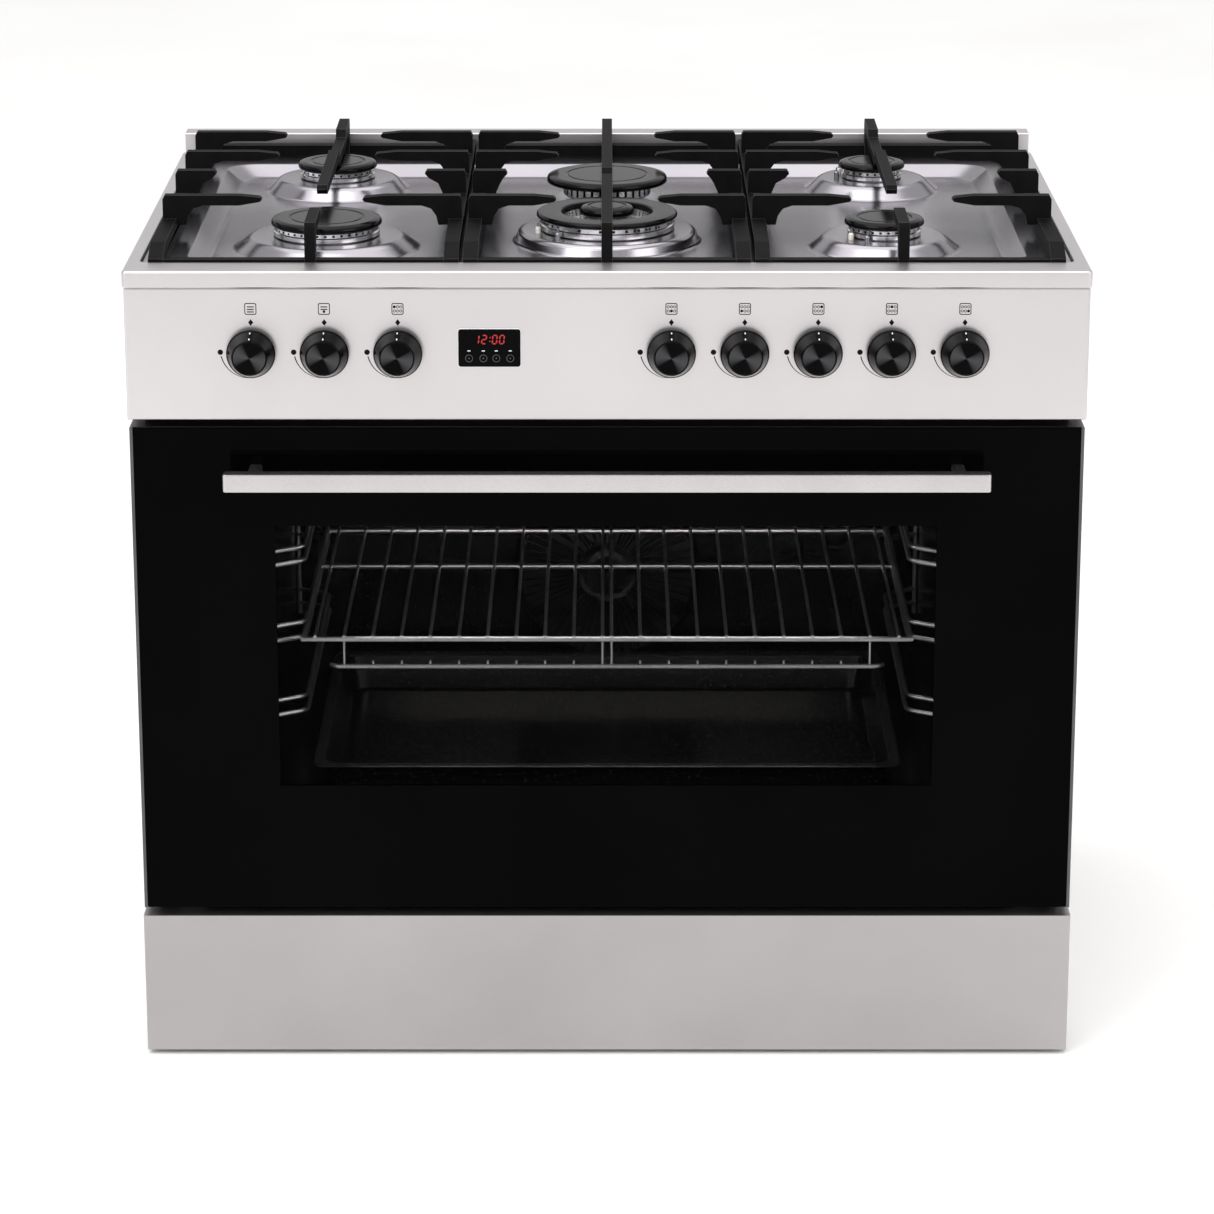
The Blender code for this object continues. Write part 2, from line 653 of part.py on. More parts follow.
# ---- oven ----
def oven_cavity():
    """Enamelled oven box, open at the front, with the full-width flange round its mouth."""
    obj = part("oven_cavity", box((-0.4375, FLANGE_FRONT, 0.150),
                                  (0.4375, FLANGE_FRONT + SHEET, 0.640)), "dark_enamel")
    unite(obj, box((-CAVITY_HALF - SHEET, FLANGE_FRONT + 0.0002, CAVITY_BOTTOM - SHEET),
                   (CAVITY_HALF + SHEET, CAVITY_BACK + SHEET, CAVITY_TOP + SHEET)))
    cut(obj, box((-CAVITY_HALF, 0.04, CAVITY_BOTTOM), (CAVITY_HALF, CAVITY_BACK, CAVITY_TOP)))
    cut(obj, rod((0, 0.46, FAN_Z), (0, 0.49, FAN_Z), 0.0062))


def rounded_loop(half_x, low, high, depth, radius, steps=4):
    """Points round an upright rectangle with round corners."""
    points = []
    corners = ((half_x, high, 0), (-half_x, high, 1), (-half_x, low, 2), (half_x, low, 3))
    for x, z, quarter in corners:
        centre_x = x - math.copysign(radius, x)
        centre_z = z - radius if z == high else z + radius
        for step in range(steps + 1):
            angle = math.pi / 2 * (quarter + step / steps)
            points.append((centre_x + radius * math.cos(angle), depth,
                           centre_z + radius * math.sin(angle)))
    return points


def door_gasket():
    """Heat-proof cord seal round the oven's mouth."""
    loop = rounded_loop(0.3405, CAVITY_BOTTOM - 0.0105, CAVITY_TOP + 0.0105, 0.0461, 0.030)
    part("door_gasket", wire(loop, 0.0035, cyclic=True), "rubber")


def shelf_ladders():
    """Wire side racks with bent-in runners, one on each oven wall."""
    wall = CAVITY_HALF - WIRE - 0.0005
    for name, side in (("shelf_ladder_left", -1), ("shelf_ladder_right", 1)):
        posts = [wire([(side * wall, d, LADDER_LOW), (side * wall, d, LADDER_HIGH)], WIRE)
                 for d in LADDER_DEPTHS]
        obj = part(name, joined(posts), "rack_chrome")
        runners = []
        for z in RUNNER_HEIGHTS:
            runners.append(wire([(side * wall, LADDER_DEPTHS[0] - 0.0005, z),
                                 (side * RUNNER_X, RUNNER_START, z),
                                 (side * RUNNER_X, RUNNER_END, z),
                                 (side * wall, LADDER_DEPTHS[1] + 0.0005, z)],
                                WIRE * 0.96, resolution=0))
        unite(obj, joined(runners))


def oven_rack():
    """A chromed wire shelf in the ladders' middle runners, with a guard bar below its front."""
    rails = [wire([(x, RACK_FRONT, RACK_Z), (x, RACK_BACK, RACK_Z)], RACK_BAR)
             for x in (-RUNNER_X, RUNNER_X)]
    obj = part("oven_rack", joined(rails), "rack_chrome")
    bars = [wire([(-RUNNER_X - RACK_OVERLAP, depth, RACK_Z),
                  (RUNNER_X + RACK_OVERLAP, depth, RACK_Z)], RACK_BAR_THIN)
            for depth in (RACK_FRONT, RACK_MIDDLE, RACK_BACK)]
    unite(obj, joined(bars))
    unite(obj, wire([(-GUARD_HALF, RACK_FRONT, GUARD_Z), (GUARD_HALF, RACK_FRONT, GUARD_Z)],
                    RACK_BAR_THIN))
    long_wires = []
    uprights = []
    top = RACK_Z + RACK_BAR_THIN
    for index in range(RACK_WIRES_PER_SIDE):
        for side in (-1, 1):
            x = side * (RACK_FIRST_WIRE + index * RACK_PITCH)
            long_wires.append(wire([(x, RACK_FRONT, top), (x, RACK_BACK, top)], RACK_WIRE,
                                   resolution=0))
            if x * side < GUARD_HALF:
                end = RACK_Z if index in GUARD_LINKS else GUARD_Z + GUARD_STUB
                uprights.append(wire([(x, RACK_FRONT, GUARD_Z), (x, RACK_FRONT, end)],
                                     RACK_WIRE, resolution=0))
    unite(obj, joined(uprights))
    unite(obj, joined(long_wires))
    put_origin(obj, (0, RACK_FRONT, RACK_Z))


def baking_tray():
    """Deep enamelled tray on the oven floor, with a flat rim."""
    floor = CAVITY_BOTTOM + GAP
    rim = TRAY_RIM
    obj = part("baking_tray", tapered_box((-TRAY_HALF, TRAY_FRONT, floor),
                                          (TRAY_HALF, TRAY_BACK, rim), 0.008, 0.020),
               "dark_enamel")
    unite(obj, box((-TRAY_HALF - TRAY_LIP, TRAY_FRONT - TRAY_LIP, rim - 0.0015),
                   (TRAY_HALF + TRAY_LIP, TRAY_BACK + TRAY_LIP, rim + 0.0002), 0.012, 2))
    cut(obj, tapered_box((-TRAY_HALF + SHEET, TRAY_FRONT + SHEET, floor + SHEET),
                         (TRAY_HALF - SHEET, TRAY_BACK - SHEET, rim + 0.01), 0.0085, 0.019))
    put_origin(obj, (0, TRAY_FRONT - TRAY_LIP, floor))


def fan():
    """Convection fan: an impeller on its shaft behind a slotted cover on the rear wall."""
    back = CAVITY_BACK - GAP
    height = back - FAN_FACE
    cover = turned("fan_cover",
                   [(0, height), (FAN_RADIUS - 0.006, height), (FAN_RADIUS, height - 0.006),
                    (FAN_RADIUS, 0), (FAN_RADIUS - FAN_SKIN, 0),
                    (FAN_RADIUS - FAN_SKIN, height - 0.0065),
                    (FAN_RADIUS - 0.0065, height - FAN_SKIN), (0, height - FAN_SKIN)],
                   (0, back, FAN_Z), "dark_enamel", facing_front=True)
    centre = Matrix.Translation(at(0, 0, FAN_Z) - at(0, 0, 0))
    slots = []
    blades = []
    for index in range(FAN_BLADES):
        turn = Matrix.Rotation(2 * math.pi * index / FAN_BLADES, 4, "Y")
        slot = box((0.020, FAN_FACE - 0.010, -0.003), (0.075, FAN_FACE + 0.010, 0.003))
        slot.transform(centre @ turn)
        slots.append(slot)
        blade = box((0.052, 0.448, -0.0007), (0.079, DISC_DEPTH + 0.001, 0.0007))
        blade.transform(centre @ turn)
        blades.append(blade)
    cut(cover, joined(slots))
    impeller = part("fan_impeller", rod((0, DISC_DEPTH, FAN_Z),
                                        (0, DISC_DEPTH + DISC_THICK, FAN_Z), DISC_RADIUS, None,
                                        ROUND_STEPS), "galvanised")
    unite(impeller, rod((0, 0.446, FAN_Z), (0, 0.505, FAN_Z), 0.005))
    unite(impeller, joined(blades))
    put_origin(impeller, (0, DISC_DEPTH, FAN_Z))


def grill_element():
    """Looped heating tube under the oven's roof, plugged into the rear wall."""
    half = [(0.030, CAVITY_BACK - GAP), (0.030, 0.405), (0.037, 0.398), (0.253, 0.398),
            (0.260, 0.391), (0.260, 0.127), (0.253, 0.120), (0.107, 0.120), (0.100, 0.127),
            (0.100, 0.333), (0.093, 0.340)]
    right = [(x, d, GRILL_Z) for x, d in half]
    left = [(-x, d, GRILL_Z) for x, d in reversed(half)]
    part("grill_element", wire(right + left, 0.004, resolution=2), "rack_chrome")


# ---- door ----
def hinge_brackets():
    """Hinge arms fixed to the oven's flange, with a pivot pin through the door's corner."""
    for name, side in (("door_hinge_left", -1), ("door_hinge_right", 1)):
        x = side * HINGE_X
        obj = part(name, box((x - 0.0065, PIVOT_DEPTH - 0.0038, PIVOT_Z - 0.0038),
                             (x + 0.0065, 0.048, PIVOT_Z + 0.0038)), "galvanised")
        unite(obj, box((x - 0.013, 0.0465, 0.1505), (x + 0.013, FLANGE_FRONT - GAP, 0.212)))
        unite(obj, rod((x - 0.0135, PIVOT_DEPTH, PIVOT_Z), (x + 0.0135, PIVOT_DEPTH, PIVOT_Z),
                       0.0030))


def door(axis):
    """Drop-down door: steel frame, outer and inner glass, and the bar handle."""
    frame = part("door_frame", box((-DOOR_HALF, 0, DOOR_BOTTOM),
                                   (DOOR_HALF, DOOR_THICK, DOOR_TOP)), "satin_steel")
    inside = DOOR_HALF - TRIM
    cut(frame, box((-inside, -0.01, DOOR_BOTTOM - 0.01), (inside, GLASS + GAP, DOOR_TOP + 0.01)))
    cut(frame, box((-inside, 0.001, DOOR_BOTTOM + TRIM),
                   (inside, DOOR_THICK - 0.0015, DOOR_TOP - TRIM)))
    collar = 0.0035
    unite(frame, box((-WINDOW_HALF - collar, GLASS + GAP, WINDOW_BOTTOM - collar),
                     (WINDOW_HALF + collar, DOOR_THICK - 0.0002, WINDOW_TOP + collar)))
    blocks = [box((x - 0.018, GLASS + GAP, DOOR_BOTTOM + 0.0002),
                  (x + 0.018, DOOR_THICK - 0.0002, 0.185)) for x in (-HINGE_X, HINGE_X)]
    unite(frame, joined(blocks))
    cut(frame, box((-WINDOW_HALF, -0.01, WINDOW_BOTTOM), (WINDOW_HALF, 0.06, WINDOW_TOP)))
    notches = [box((x - 0.0085, PIVOT_DEPTH - 0.006, 0.14), (x + 0.0085, 0.06, PIVOT_Z + 0.006))
               for x in (-HINGE_X, HINGE_X)]
    cut(frame, joined(notches))
    bores = [rod((x - 0.0145, PIVOT_DEPTH, PIVOT_Z), (x + 0.0145, PIVOT_DEPTH, PIVOT_Z), 0.0034)
             for x in (-HINGE_X, HINGE_X)]
    cut(frame, joined(bores))
    outer = part("door_outer_glass", box((-inside + GAP, 0, DOOR_BOTTOM + GAP),
                                         (inside - GAP, GLASS, DOOR_TOP - GAP), 0.001, 1),
                 "door_glass")
    inner = part("door_inner_glass", box((-WINDOW_HALF + 0.0005, 0.034, WINDOW_BOTTOM + 0.0005),
                                         (WINDOW_HALF - 0.0005, 0.038, WINDOW_TOP - 0.0005)),
                 "oven_glass")
    handle = part("door_handle", box((-HANDLE_HALF, -HANDLE_REACH, HANDLE_LOW),
                                     (HANDLE_HALF, HANDLE_THICK - HANDLE_REACH, HANDLE_HIGH),
                                     0.002, 0), "satin_steel")
    posts = [box((x - 0.006, HANDLE_THICK - HANDLE_REACH - 0.004, HANDLE_LOW + 0.0012),
                 (x + 0.006, -GAP, HANDLE_HIGH - 0.0012)) for x in (-0.330, 0.330)]
    unite(handle, joined(posts))
    for obj in (frame, outer, inner, handle):
        obj.parent = axis
        obj.matrix_parent_inverse = Matrix.Translation(-axis.location)


def drawer():
    """Storage drawer: folded front and an open-topped box that runs on the base frame."""
    front = part("drawer_front", box((-HALF, 0, DRAWER_BOTTOM), (HALF, FRONT_SHELL, DRAWER_TOP),
                                     0.0015, 2), "satin_steel")
    cut(front, box((-HALF + SHEET, SHEET, DRAWER_BOTTOM + SHEET),
                   (HALF - SHEET, FRONT_SHELL + 0.01, DRAWER_TOP - SHEET)))
    low = FRAME_TOP + GAP
    tub = part("drawer_box", box((-0.380, SHEET + GAP, low), (0.380, 0.540, 0.138)), "galvanised")
    cut(tub, box((-0.3785, SHEET + GAP + 0.0015, low + 0.0015), (0.3785, 0.5385, 0.15)))
    put_origin(front, (0, 0, DRAWER_BOTTOM))
    put_origin(tub, (0, 0, low))


door_axis = bpy.data.objects.new("door_axis", None)
PARTS.objects.link(door_axis)
door_axis.location = at(0, PIVOT_DEPTH, PIVOT_Z)

feet()
base_frame()
side_panels()
back_panel()
control_panel()
timer_display()
hob_top()
rear_upstand()
corner_burners()
centre_burners()
pan_supports()
knobs()
gas_manifold()
oven_cavity()
door_gasket()
shelf_ladders()
oven_rack()
baking_tray()
fan()
grill_element()
hinge_brackets()
door(door_axis)
drawer()
bpy.context.view_layer.update()
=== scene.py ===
# %% [markdown]
# # A freestanding gas range, 90 cm wide
# The CAD model gives every piece its true size and place. This file dresses that model: it
# builds finer pieces around it with bmesh operators, gives each one the material that the
# real part has, and sets up a plain studio. The first cell loads the CAD model. Its pieces
# are named nodes, and each node belongs to a body that can move, such as the door.

# %% The CAD frame
import json
import math

import bmesh
import bpy
from mathutils import Matrix, Vector


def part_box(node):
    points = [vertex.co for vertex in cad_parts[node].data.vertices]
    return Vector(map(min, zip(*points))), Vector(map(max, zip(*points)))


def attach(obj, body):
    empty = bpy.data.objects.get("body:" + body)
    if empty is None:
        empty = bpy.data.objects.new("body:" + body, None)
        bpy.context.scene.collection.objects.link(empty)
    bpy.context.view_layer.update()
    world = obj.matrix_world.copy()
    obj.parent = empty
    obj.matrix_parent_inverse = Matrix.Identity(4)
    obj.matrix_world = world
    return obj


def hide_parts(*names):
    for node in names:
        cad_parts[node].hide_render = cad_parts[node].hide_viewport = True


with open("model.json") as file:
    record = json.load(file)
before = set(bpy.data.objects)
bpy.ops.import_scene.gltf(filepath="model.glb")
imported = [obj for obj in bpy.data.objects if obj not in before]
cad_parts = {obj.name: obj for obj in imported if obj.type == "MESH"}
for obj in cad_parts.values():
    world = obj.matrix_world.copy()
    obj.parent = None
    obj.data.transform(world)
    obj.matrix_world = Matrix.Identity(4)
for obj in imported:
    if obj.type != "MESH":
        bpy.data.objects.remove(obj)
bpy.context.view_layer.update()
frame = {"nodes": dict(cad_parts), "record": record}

FRONT_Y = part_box("door_outer_glass")[0].y

# %% [markdown]
# ## Places
# A range is easiest to think about from its front: x runs across from the middle, depth runs
# back from the door's front face, and z is the height above the floor. One helper turns those
# three into a point in Blender, where depth runs along Y.

# %% A place on the range


def at(x, depth, z):
    """A point from its place across, back from the door's face, and up, in metres."""
    return Vector((x, FRONT_Y + depth, z))


print("door face at y", round(FRONT_Y, 4))

# %% [markdown]
# ## Colours and nodes
# Colours are written as sRGB hex, the way a paint chart gives them. Blender mixes light in
# linear values, so one function converts. A second function adds a shader node: its keyword
# settings are the node's own properties, and `sockets` says what each input gets, which is a
# number, a colour or the output of another node.

# %% Hex to linear, and one node adder


def linear(hex_code):
    """A linear RGBA colour from six sRGB hex digits."""
    made = []
    for start in (0, 2, 4):
        value = int(hex_code[start:start + 2], 16) / 255
        made.append(value / 12.92 if value <= 0.04045 else ((value + 0.055) / 1.055) ** 2.4)
    return (*made, 1.0)


def add(tree, kind, sockets=None, **settings):
    """Adds one shader node with its settings, and fills or links its inputs."""
    node = tree.nodes.new("ShaderNode" + kind)
    for key, value in settings.items():
        setattr(node, key, value)
    for key, value in (sockets or {}).items():
        if isinstance(value, bpy.types.NodeSocket):
            tree.links.new(value, node.inputs[key])
        else:
            node.inputs[key].default_value = value
    return node


print("mid grey in linear light:", round(linear("808080")[0], 3))

# %% [markdown]
# ## One recipe for a surface
# Nothing on a cooker is one flat colour. Sheet steel drifts slightly from patch to patch and
# carries a fine grain, enamel ripples, cast iron is rough like sand. The recipe below serves
# all of them: a slow noise drifts the colour from `dark` to `light`, and a fine noise moves
# the roughness and lifts the surface by a small bump. Sizes are real millimetres, so a grain
# of 0.8 means grains about 0.8 mm across. `stretch` shrinks the pattern's frequency along an
# axis, which draws it out into brush lines.

# %% The surface recipe
MM = 0.001


def surface(name, dark, light, patch, grain, rough, bump, metallic=0.0, stretch=(1, 1, 1),
            **sockets):
    """A material whose colour drifts over `patch` mm and whose skin has `grain` mm grains."""
    material = bpy.data.materials.new(name)
    material.use_nodes = True
    tree = material.node_tree
    shader = tree.nodes["Principled BSDF"]
    shader.inputs["Metallic"].default_value = metallic
    for key, value in sockets.items():
        shader.inputs[key.replace("_", " ")].default_value = value
    place = add(tree, "TexCoord")
    drawn = add(tree, "Mapping", {"Vector": place.outputs["Object"], "Scale": stretch})
    slow = add(tree, "TexNoise", {"Vector": place.outputs["Object"], "Scale": 1000 / patch,
                                  "Detail": 3.0})
    drift = add(tree, "MapRange", {"Value": slow.outputs[0], "From Min": 0.3, "From Max": 0.7})
    colour = add(tree, "Mix", {0: drift.outputs[0], 6: linear(dark), 7: linear(light)},
                 data_type="RGBA")
    fine = add(tree, "TexNoise", {"Vector": drawn.outputs[0], "Scale": 1000 / grain,
                                  "Detail": 2.0})
    sheen = add(tree, "MapRange", {"Value": fine.outputs[0], "From Min": 0.25, "From Max": 0.75,
                                   "To Min": rough[0], "To Max": rough[1]})
    lift = add(tree, "Bump", {"Height": fine.outputs[0], "Distance": bump * MM,
                              "Strength": 1.0})
    for socket, output in (("Base Color", colour.outputs[2]), ("Roughness", sheen.outputs[0]),
                           ("Normal", lift.outputs[0])):
        tree.links.new(output, shader.inputs[socket])
    return material


print("surface recipe ready")

# %% [markdown]
# ## The steels
# The front, the drawer and the sides are stainless steel sheet with a satin, directionless
# finish. It throws a soft white sheen that never shows a clear reflection. The hob is the
# same metal polished further, so it mirrors more of the room; its darker colour is painted
# shade for the darker room it mirrors. Hidden sheet is zinc-coated: its zinc freezes in flat
# spangles, which Voronoi cells give.

# %% Steel and zinc
# Satin stainless steel, fine random grain: pale, soft sheen, faint clouding.
satin_steel = surface("satin_stainless_steel", "CDC9CA", "D2CECF", 160, 0.9, (0.36, 0.41), 0.010,
                      metallic=1.0)
# The drawer's front: the same finish, painted slightly darker as painted shade.
drawer_steel_painted_shade = surface("satin_drawer_steel", "A9A5A6", "B0ACAD", 160, 0.9, (0.38, 0.43), 0.010,
                       metallic=1.0)
# The door's folded frame: darkened steel, which reads as a thin grey line beside the glass.
trim_steel = surface("dark_door_trim", "545355", "605F61", 60, 0.9, (0.30, 0.36), 0.006,
                     metallic=1.0)
# The same sheet on the handle, rubbed brighter by hands.
handle_steel = surface("polished_handle_steel", "BCB8B9", "C4C0C1", 90, 0.7, (0.26, 0.31),
                       0.003, metallic=1.0, stretch=(0.1, 1, 1))
# Polished stainless hob: clearer reflections; its darker, purple-grey colour is painted shade.
hob_steel = surface("polished_hob_steel_painted_shade", "A09CA2", "AAA6AC", 120, 0.8, (0.20, 0.25), 0.006,
                    metallic=1.0)
# Zinc-coated sheet: matt grey spangles about 9 mm across.
galvanised = surface("galvanised_sheet", "83868A", "9DA0A4", 40, 1.2, (0.42, 0.55), 0.02,
                     metallic=1.0)
zinc_tree = galvanised.node_tree
zinc_place = add(zinc_tree, "TexCoord")
spangle = add(zinc_tree, "TexVoronoi", {"Vector": zinc_place.outputs["Object"],
                                        "Scale": 1000 / 9})
spangle_grey = add(zinc_tree, "Mix", {0: spangle.outputs["Color"], 6: linear("7C7F83"),
                                      7: linear("A9ACB0")}, data_type="RGBA")
zinc_tree.links.new(spangle_grey.outputs[2],
                    zinc_tree.nodes["Principled BSDF"].inputs["Base Color"])
# Chromed wire: near-mirror, slightly blue.
chrome = surface("chromed_wire", "C4C5C9", "D4D5D9", 30, 0.6, (0.24, 0.34), 0.002,
                 metallic=1.0)
# Raw and polished aluminium of the flame crowns: bright, faint turning marks.
crown_metal = surface("turned_aluminium", "D2D2D4", "E4E4E5", 25, 0.5, (0.16, 0.24), 0.004,
                      metallic=1.0, stretch=(1, 1, 4))
# Yellow brass of the gas rail and taps.
brass = surface("machined_brass", "B08A45", "C9A45C", 25, 0.6, (0.24, 0.36), 0.004,
                metallic=1.0)
# Zinc-plated screws.
screw_metal = surface("plated_screw_steel", "8D8F92", "A5A7AA", 8, 0.5, (0.28, 0.4), 0.006,
                      metallic=1.0)
print("steels:", satin_steel.name, hob_steel.name, galvanised.name)

# %% [markdown]
# ## The black finishes
# A cooker has many blacks, and they differ by skin rather than by colour. Cast iron is
# matt and sandy, and its rounded edges carry a paler grey, a painted highlight. Burner caps are
# smooth semi-gloss enamel. Oven enamel is glossier with tiny pale specks fired into it.
# Knobs are gloss plastic, and rubber is dull.

# %% Iron, enamel, plastic and rubber
# Enamelled cast iron: matt, sand-like grain about 1 mm across.
cast_iron = surface("enamelled_cast_iron", "070708", "0D0D0E", 18, 1.0, (0.50, 0.68), 0.08,
                    Specular_IOR_Level=0.08)
# Its edges: a paler grey on every bevelled edge, a painted highlight.
iron_edge_painted_highlight = surface("cast_iron_edge_painted_highlight", "3A3A3E", "58585C", 10, 0.8, (0.34, 0.5), 0.03)
# Semi-gloss burner-cap enamel.
cap_enamel = surface("cap_enamel", "040405", "070708", 20, 0.8, (0.14, 0.22), 0.004,
                     Specular_IOR_Level=0.14)
# Near-black inside of the flame ports and the fan's slots: painted shade in the holes.
hole_painted_shade = surface("port_painted_shade_black", "050505", "0C0B0A", 3, 0.5, (0.8, 0.95), 0.02)
# Oven enamel: glossy black.
oven_enamel = surface("oven_enamel", "0B0B0C", "141416", 50, 2.5, (0.16, 0.24), 0.02)
speck_tree = oven_enamel.node_tree
speck_place = add(speck_tree, "TexCoord")
# Pale specks about 1 mm across, set 5 mm apart: coarser than real, so that they show.
speck = add(speck_tree, "TexVoronoi", {"Vector": speck_place.outputs["Object"],
                                       "Scale": 1000 / 5})
speck_mask = add(speck_tree, "Math", {0: speck.outputs["Distance"], 1: 0.12},
                 operation="LESS_THAN")
speck_mix = add(speck_tree, "Mix", {0: speck_mask.outputs[0], 6: linear("0E0E10"),
                                    7: linear("6E6E72")}, data_type="RGBA")
speck_tree.links.new(speck_mix.outputs[2],
                     speck_tree.nodes["Principled BSDF"].inputs["Base Color"])
# The same enamel on the tray's rolled rim, painted paler: a painted highlight along it.
enamel_rim_painted_highlight = surface("oven_enamel_rim", "3A383C", "4A484D", 40, 1.5, (0.2, 0.3), 0.01,
                     metallic=0.6)
# Gloss black knob plastic, with the faintest orange peel.
knob_plastic = surface("gloss_knob_plastic", "030303", "050506", 15, 2.0, (0.08, 0.14), 0.002,
                       Specular_IOR_Level=0.08)
# Dull black rubber of the feet and the door seal.
rubber = surface("moulded_rubber", "141414", "1E1E1E", 12, 1.5, (0.7, 0.85), 0.03)
# Glazed white ceramic of the spark pins.
ceramic = surface("spark_ceramic", "D8D4CC", "ECE9E2", 6, 0.8, (0.2, 0.3), 0.01)
print("blacks:", cast_iron.name, cap_enamel.name, oven_enamel.name, knob_plastic.name)

# %% [markdown]
# ## Glass, print and light
# The door's outer pane is float glass, printed black on its back except for the window,
# which is only tinted. Alpha lets part of what is behind through, with no refraction, and
# this is enough for a flat pane. Its specular level is turned down, as a printed, coated
# pane gives only a weak mirror image. Ink sits in thin layers on steel and on glass.

# %% Glass and ink
# Black-backed float glass: deep black, weak clear reflection.
black_glass = surface("black_backed_glass", "020202", "040404", 200, 30, (0.03, 0.06), 0.0,
                      Specular_IOR_Level=0.02)
# Tinted window area of the same pane.
window_glass = surface("tinted_window_glass", "020202", "040404", 200, 30, (0.03, 0.06), 0.0,
                       Specular_IOR_Level=0.02, Alpha=0.16)
# Clear inner pane.
clear_glass = surface("clear_inner_glass", "060706", "0A0B0A", 200, 30, (0.03, 0.06), 0.0,
                      Specular_IOR_Level=0.02, Alpha=0.05)
# The display's cover glass, and its ground edge, which catches the light.
display_glass = surface("display_cover_glass", "030304", "050506", 40, 10, (0.05, 0.09), 0.0,
                        Specular_IOR_Level=0.04)
ground_edge = surface("ground_glass_edge", "D8D8DA", "ECECEE", 10, 1.0, (0.3, 0.4), 0.01)
# Screen-printed black ink, slightly matt.
black_ink = surface("black_screen_ink", "050505", "090909", 5, 0.5, (0.45, 0.6), 0.004,
                    Specular_IOR_Level=0.1)
# Grey touch marks and white marks.
white_ink = surface("white_screen_ink", "DCDCDC", "F2F2F2", 5, 0.5, (0.4, 0.55), 0.004)
grey_ink = surface("grey_touch_ink", "38383A", "4C4C4F", 5, 0.5, (0.4, 0.55), 0.004)
# Lit red segments.
red_light = surface("red_led_segments", "8C1212", "A01A1A", 3, 0.5, (0.3, 0.4), 0.0,
                    Emission_Color=linear("D62020"), Emission_Strength=0.35)
print("glass and ink ready")

# %% [markdown]
# ## Keeping a piece
# Each finished mesh goes through one helper. It marks the real corners as sharp, so that
# round faces shade smoothly, and a Weighted Normal modifier keeps the large flat faces flat
# beside their narrow rounded edges.

# %% Finish a mesh as a piece
SHARP = math.radians(32)


def keep(name, bm, finishes, body, nodes=()):
    """Turns a bmesh into a piece of the range that rides on a CAD body."""
    for face in bm.faces:
        face.smooth = True
    for edge in bm.edges:
        edge.smooth = len(edge.link_faces) == 2 and edge.calc_face_angle(0.0) < SHARP
    mesh = bpy.data.meshes.new(name)
    bm.to_mesh(mesh)
    bm.free()
    for material in finishes:
        mesh.materials.append(material)
    obj = bpy.data.objects.new(name, mesh)
    bpy.context.scene.collection.objects.link(obj)
    level = obj.modifiers.new("flat_faces_stay_flat", "WEIGHTED_NORMAL")
    level.keep_sharp = True
    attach(obj, body)
    if nodes:
        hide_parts(*nodes)
    size = [round(v * 1000) for v in obj.dimensions]
    print(f"{name}: {len(mesh.polygons)} faces, {size} mm, on {body}")
    return obj


print("pieces are kept with smooth faces below", round(math.degrees(SHARP)), "degrees")

# %% [markdown]
# ## Softening the CAD's own corners
# Folded sheet and cast iron never have knife edges: a radius of half a millimetre is what
# catches a thin line of light. Where a CAD node has the right shape, a copy is merged, its
# coplanar triangles are dissolved into whole faces, and its sharp edges are bevelled. The
# bevel's own faces are handed back, because some finishes change along an edge.

# %% Softened copy of a CAD node


def softened(node, width, segments=2):
    """A merged copy of a CAD node with bevelled edges, and the bevel's faces."""
    bm = bmesh.new()
    bm.from_mesh(frame["nodes"][node].data)
    bmesh.ops.remove_doubles(bm, verts=bm.verts, dist=0.00002)
    bmesh.ops.dissolve_limit(bm, angle_limit=math.radians(1), verts=bm.verts, edges=bm.edges)
    corners = [e for e in bm.edges if e.calc_face_angle(0.0) > math.radians(35)]
    made = bmesh.ops.bevel(bm, geom=corners, offset=width, offset_type="OFFSET",
                           segments=segments, profile=0.5, affect="EDGES", material=-1,
                           clamp_overlap=True)
    return bm, made["faces"]


for side in ("left", "right"):
    panel, _ = softened("side_panel_" + side, 0.0005)
    keep("outer_side_" + side, panel, [satin_steel], "root",
         ["side_panel_" + side])
upstand, _ = softened("rear_upstand", 0.0008)
keep("back_upstand", upstand, [satin_steel], "root", ["rear_upstand"])
fascia, _ = softened("control_panel", 0.0005)
keep("control_fascia", fascia, [satin_steel], "root", ["control_panel"])
tub, _ = softened("drawer_box", 0.0004)
keep("drawer_tub", tub, [galvanised], "drawer", ["drawer_box"])

# %% [markdown]
# ## Blocks with rounded edges
# Bars, panes and posts are boxes at heart. The helper makes a cube, stretches it between two
# places, rounds the four edges along one axis by `corner`, and then softens every remaining
# corner by `edge`. The order matters: the big radius first, the fine one after it.

# %% A rounded block


def block(low, high, corner=0.0, axis=2, edge=0.0, steps=4):
    """A box between two places: edges along one axis rounded, then all corners softened."""
    low = at(*low)
    high = at(*high)
    bm = bmesh.new()
    bmesh.ops.create_cube(bm, size=1.0)
    bmesh.ops.scale(bm, vec=high - low, verts=bm.verts)
    bmesh.ops.translate(bm, vec=(low + high) / 2, verts=bm.verts)
    if corner:
        long_edges = [e for e in bm.edges
                      if abs((e.verts[0].co - e.verts[1].co)[axis]) > (high - low)[axis] / 2]
        bmesh.ops.bevel(bm, geom=long_edges, offset=corner, segments=steps, profile=0.5,
                        affect="EDGES", material=-1)
    if edge:
        corners = [e for e in bm.edges if e.calc_face_angle(0.0) > math.radians(60)]
        bmesh.ops.bevel(bm, geom=corners, offset=edge, segments=2, profile=0.5,
                        affect="EDGES", material=-1)
    return bm


def merged(parts):
    """Several closed shapes in one bmesh."""
    whole = bmesh.new()
    for bm in parts:
        mesh = bpy.data.meshes.new("shape")
        bm.to_mesh(mesh)
        bm.free()
        whole.from_mesh(mesh)
        bpy.data.meshes.remove(mesh)
    return whole


front_panel, _ = softened("drawer_front", 0.0008)
# The drawer's face takes the darker steel: painted shade.
keep("drawer_face", front_panel, [drawer_steel_painted_shade], "drawer", ["drawer_front"])

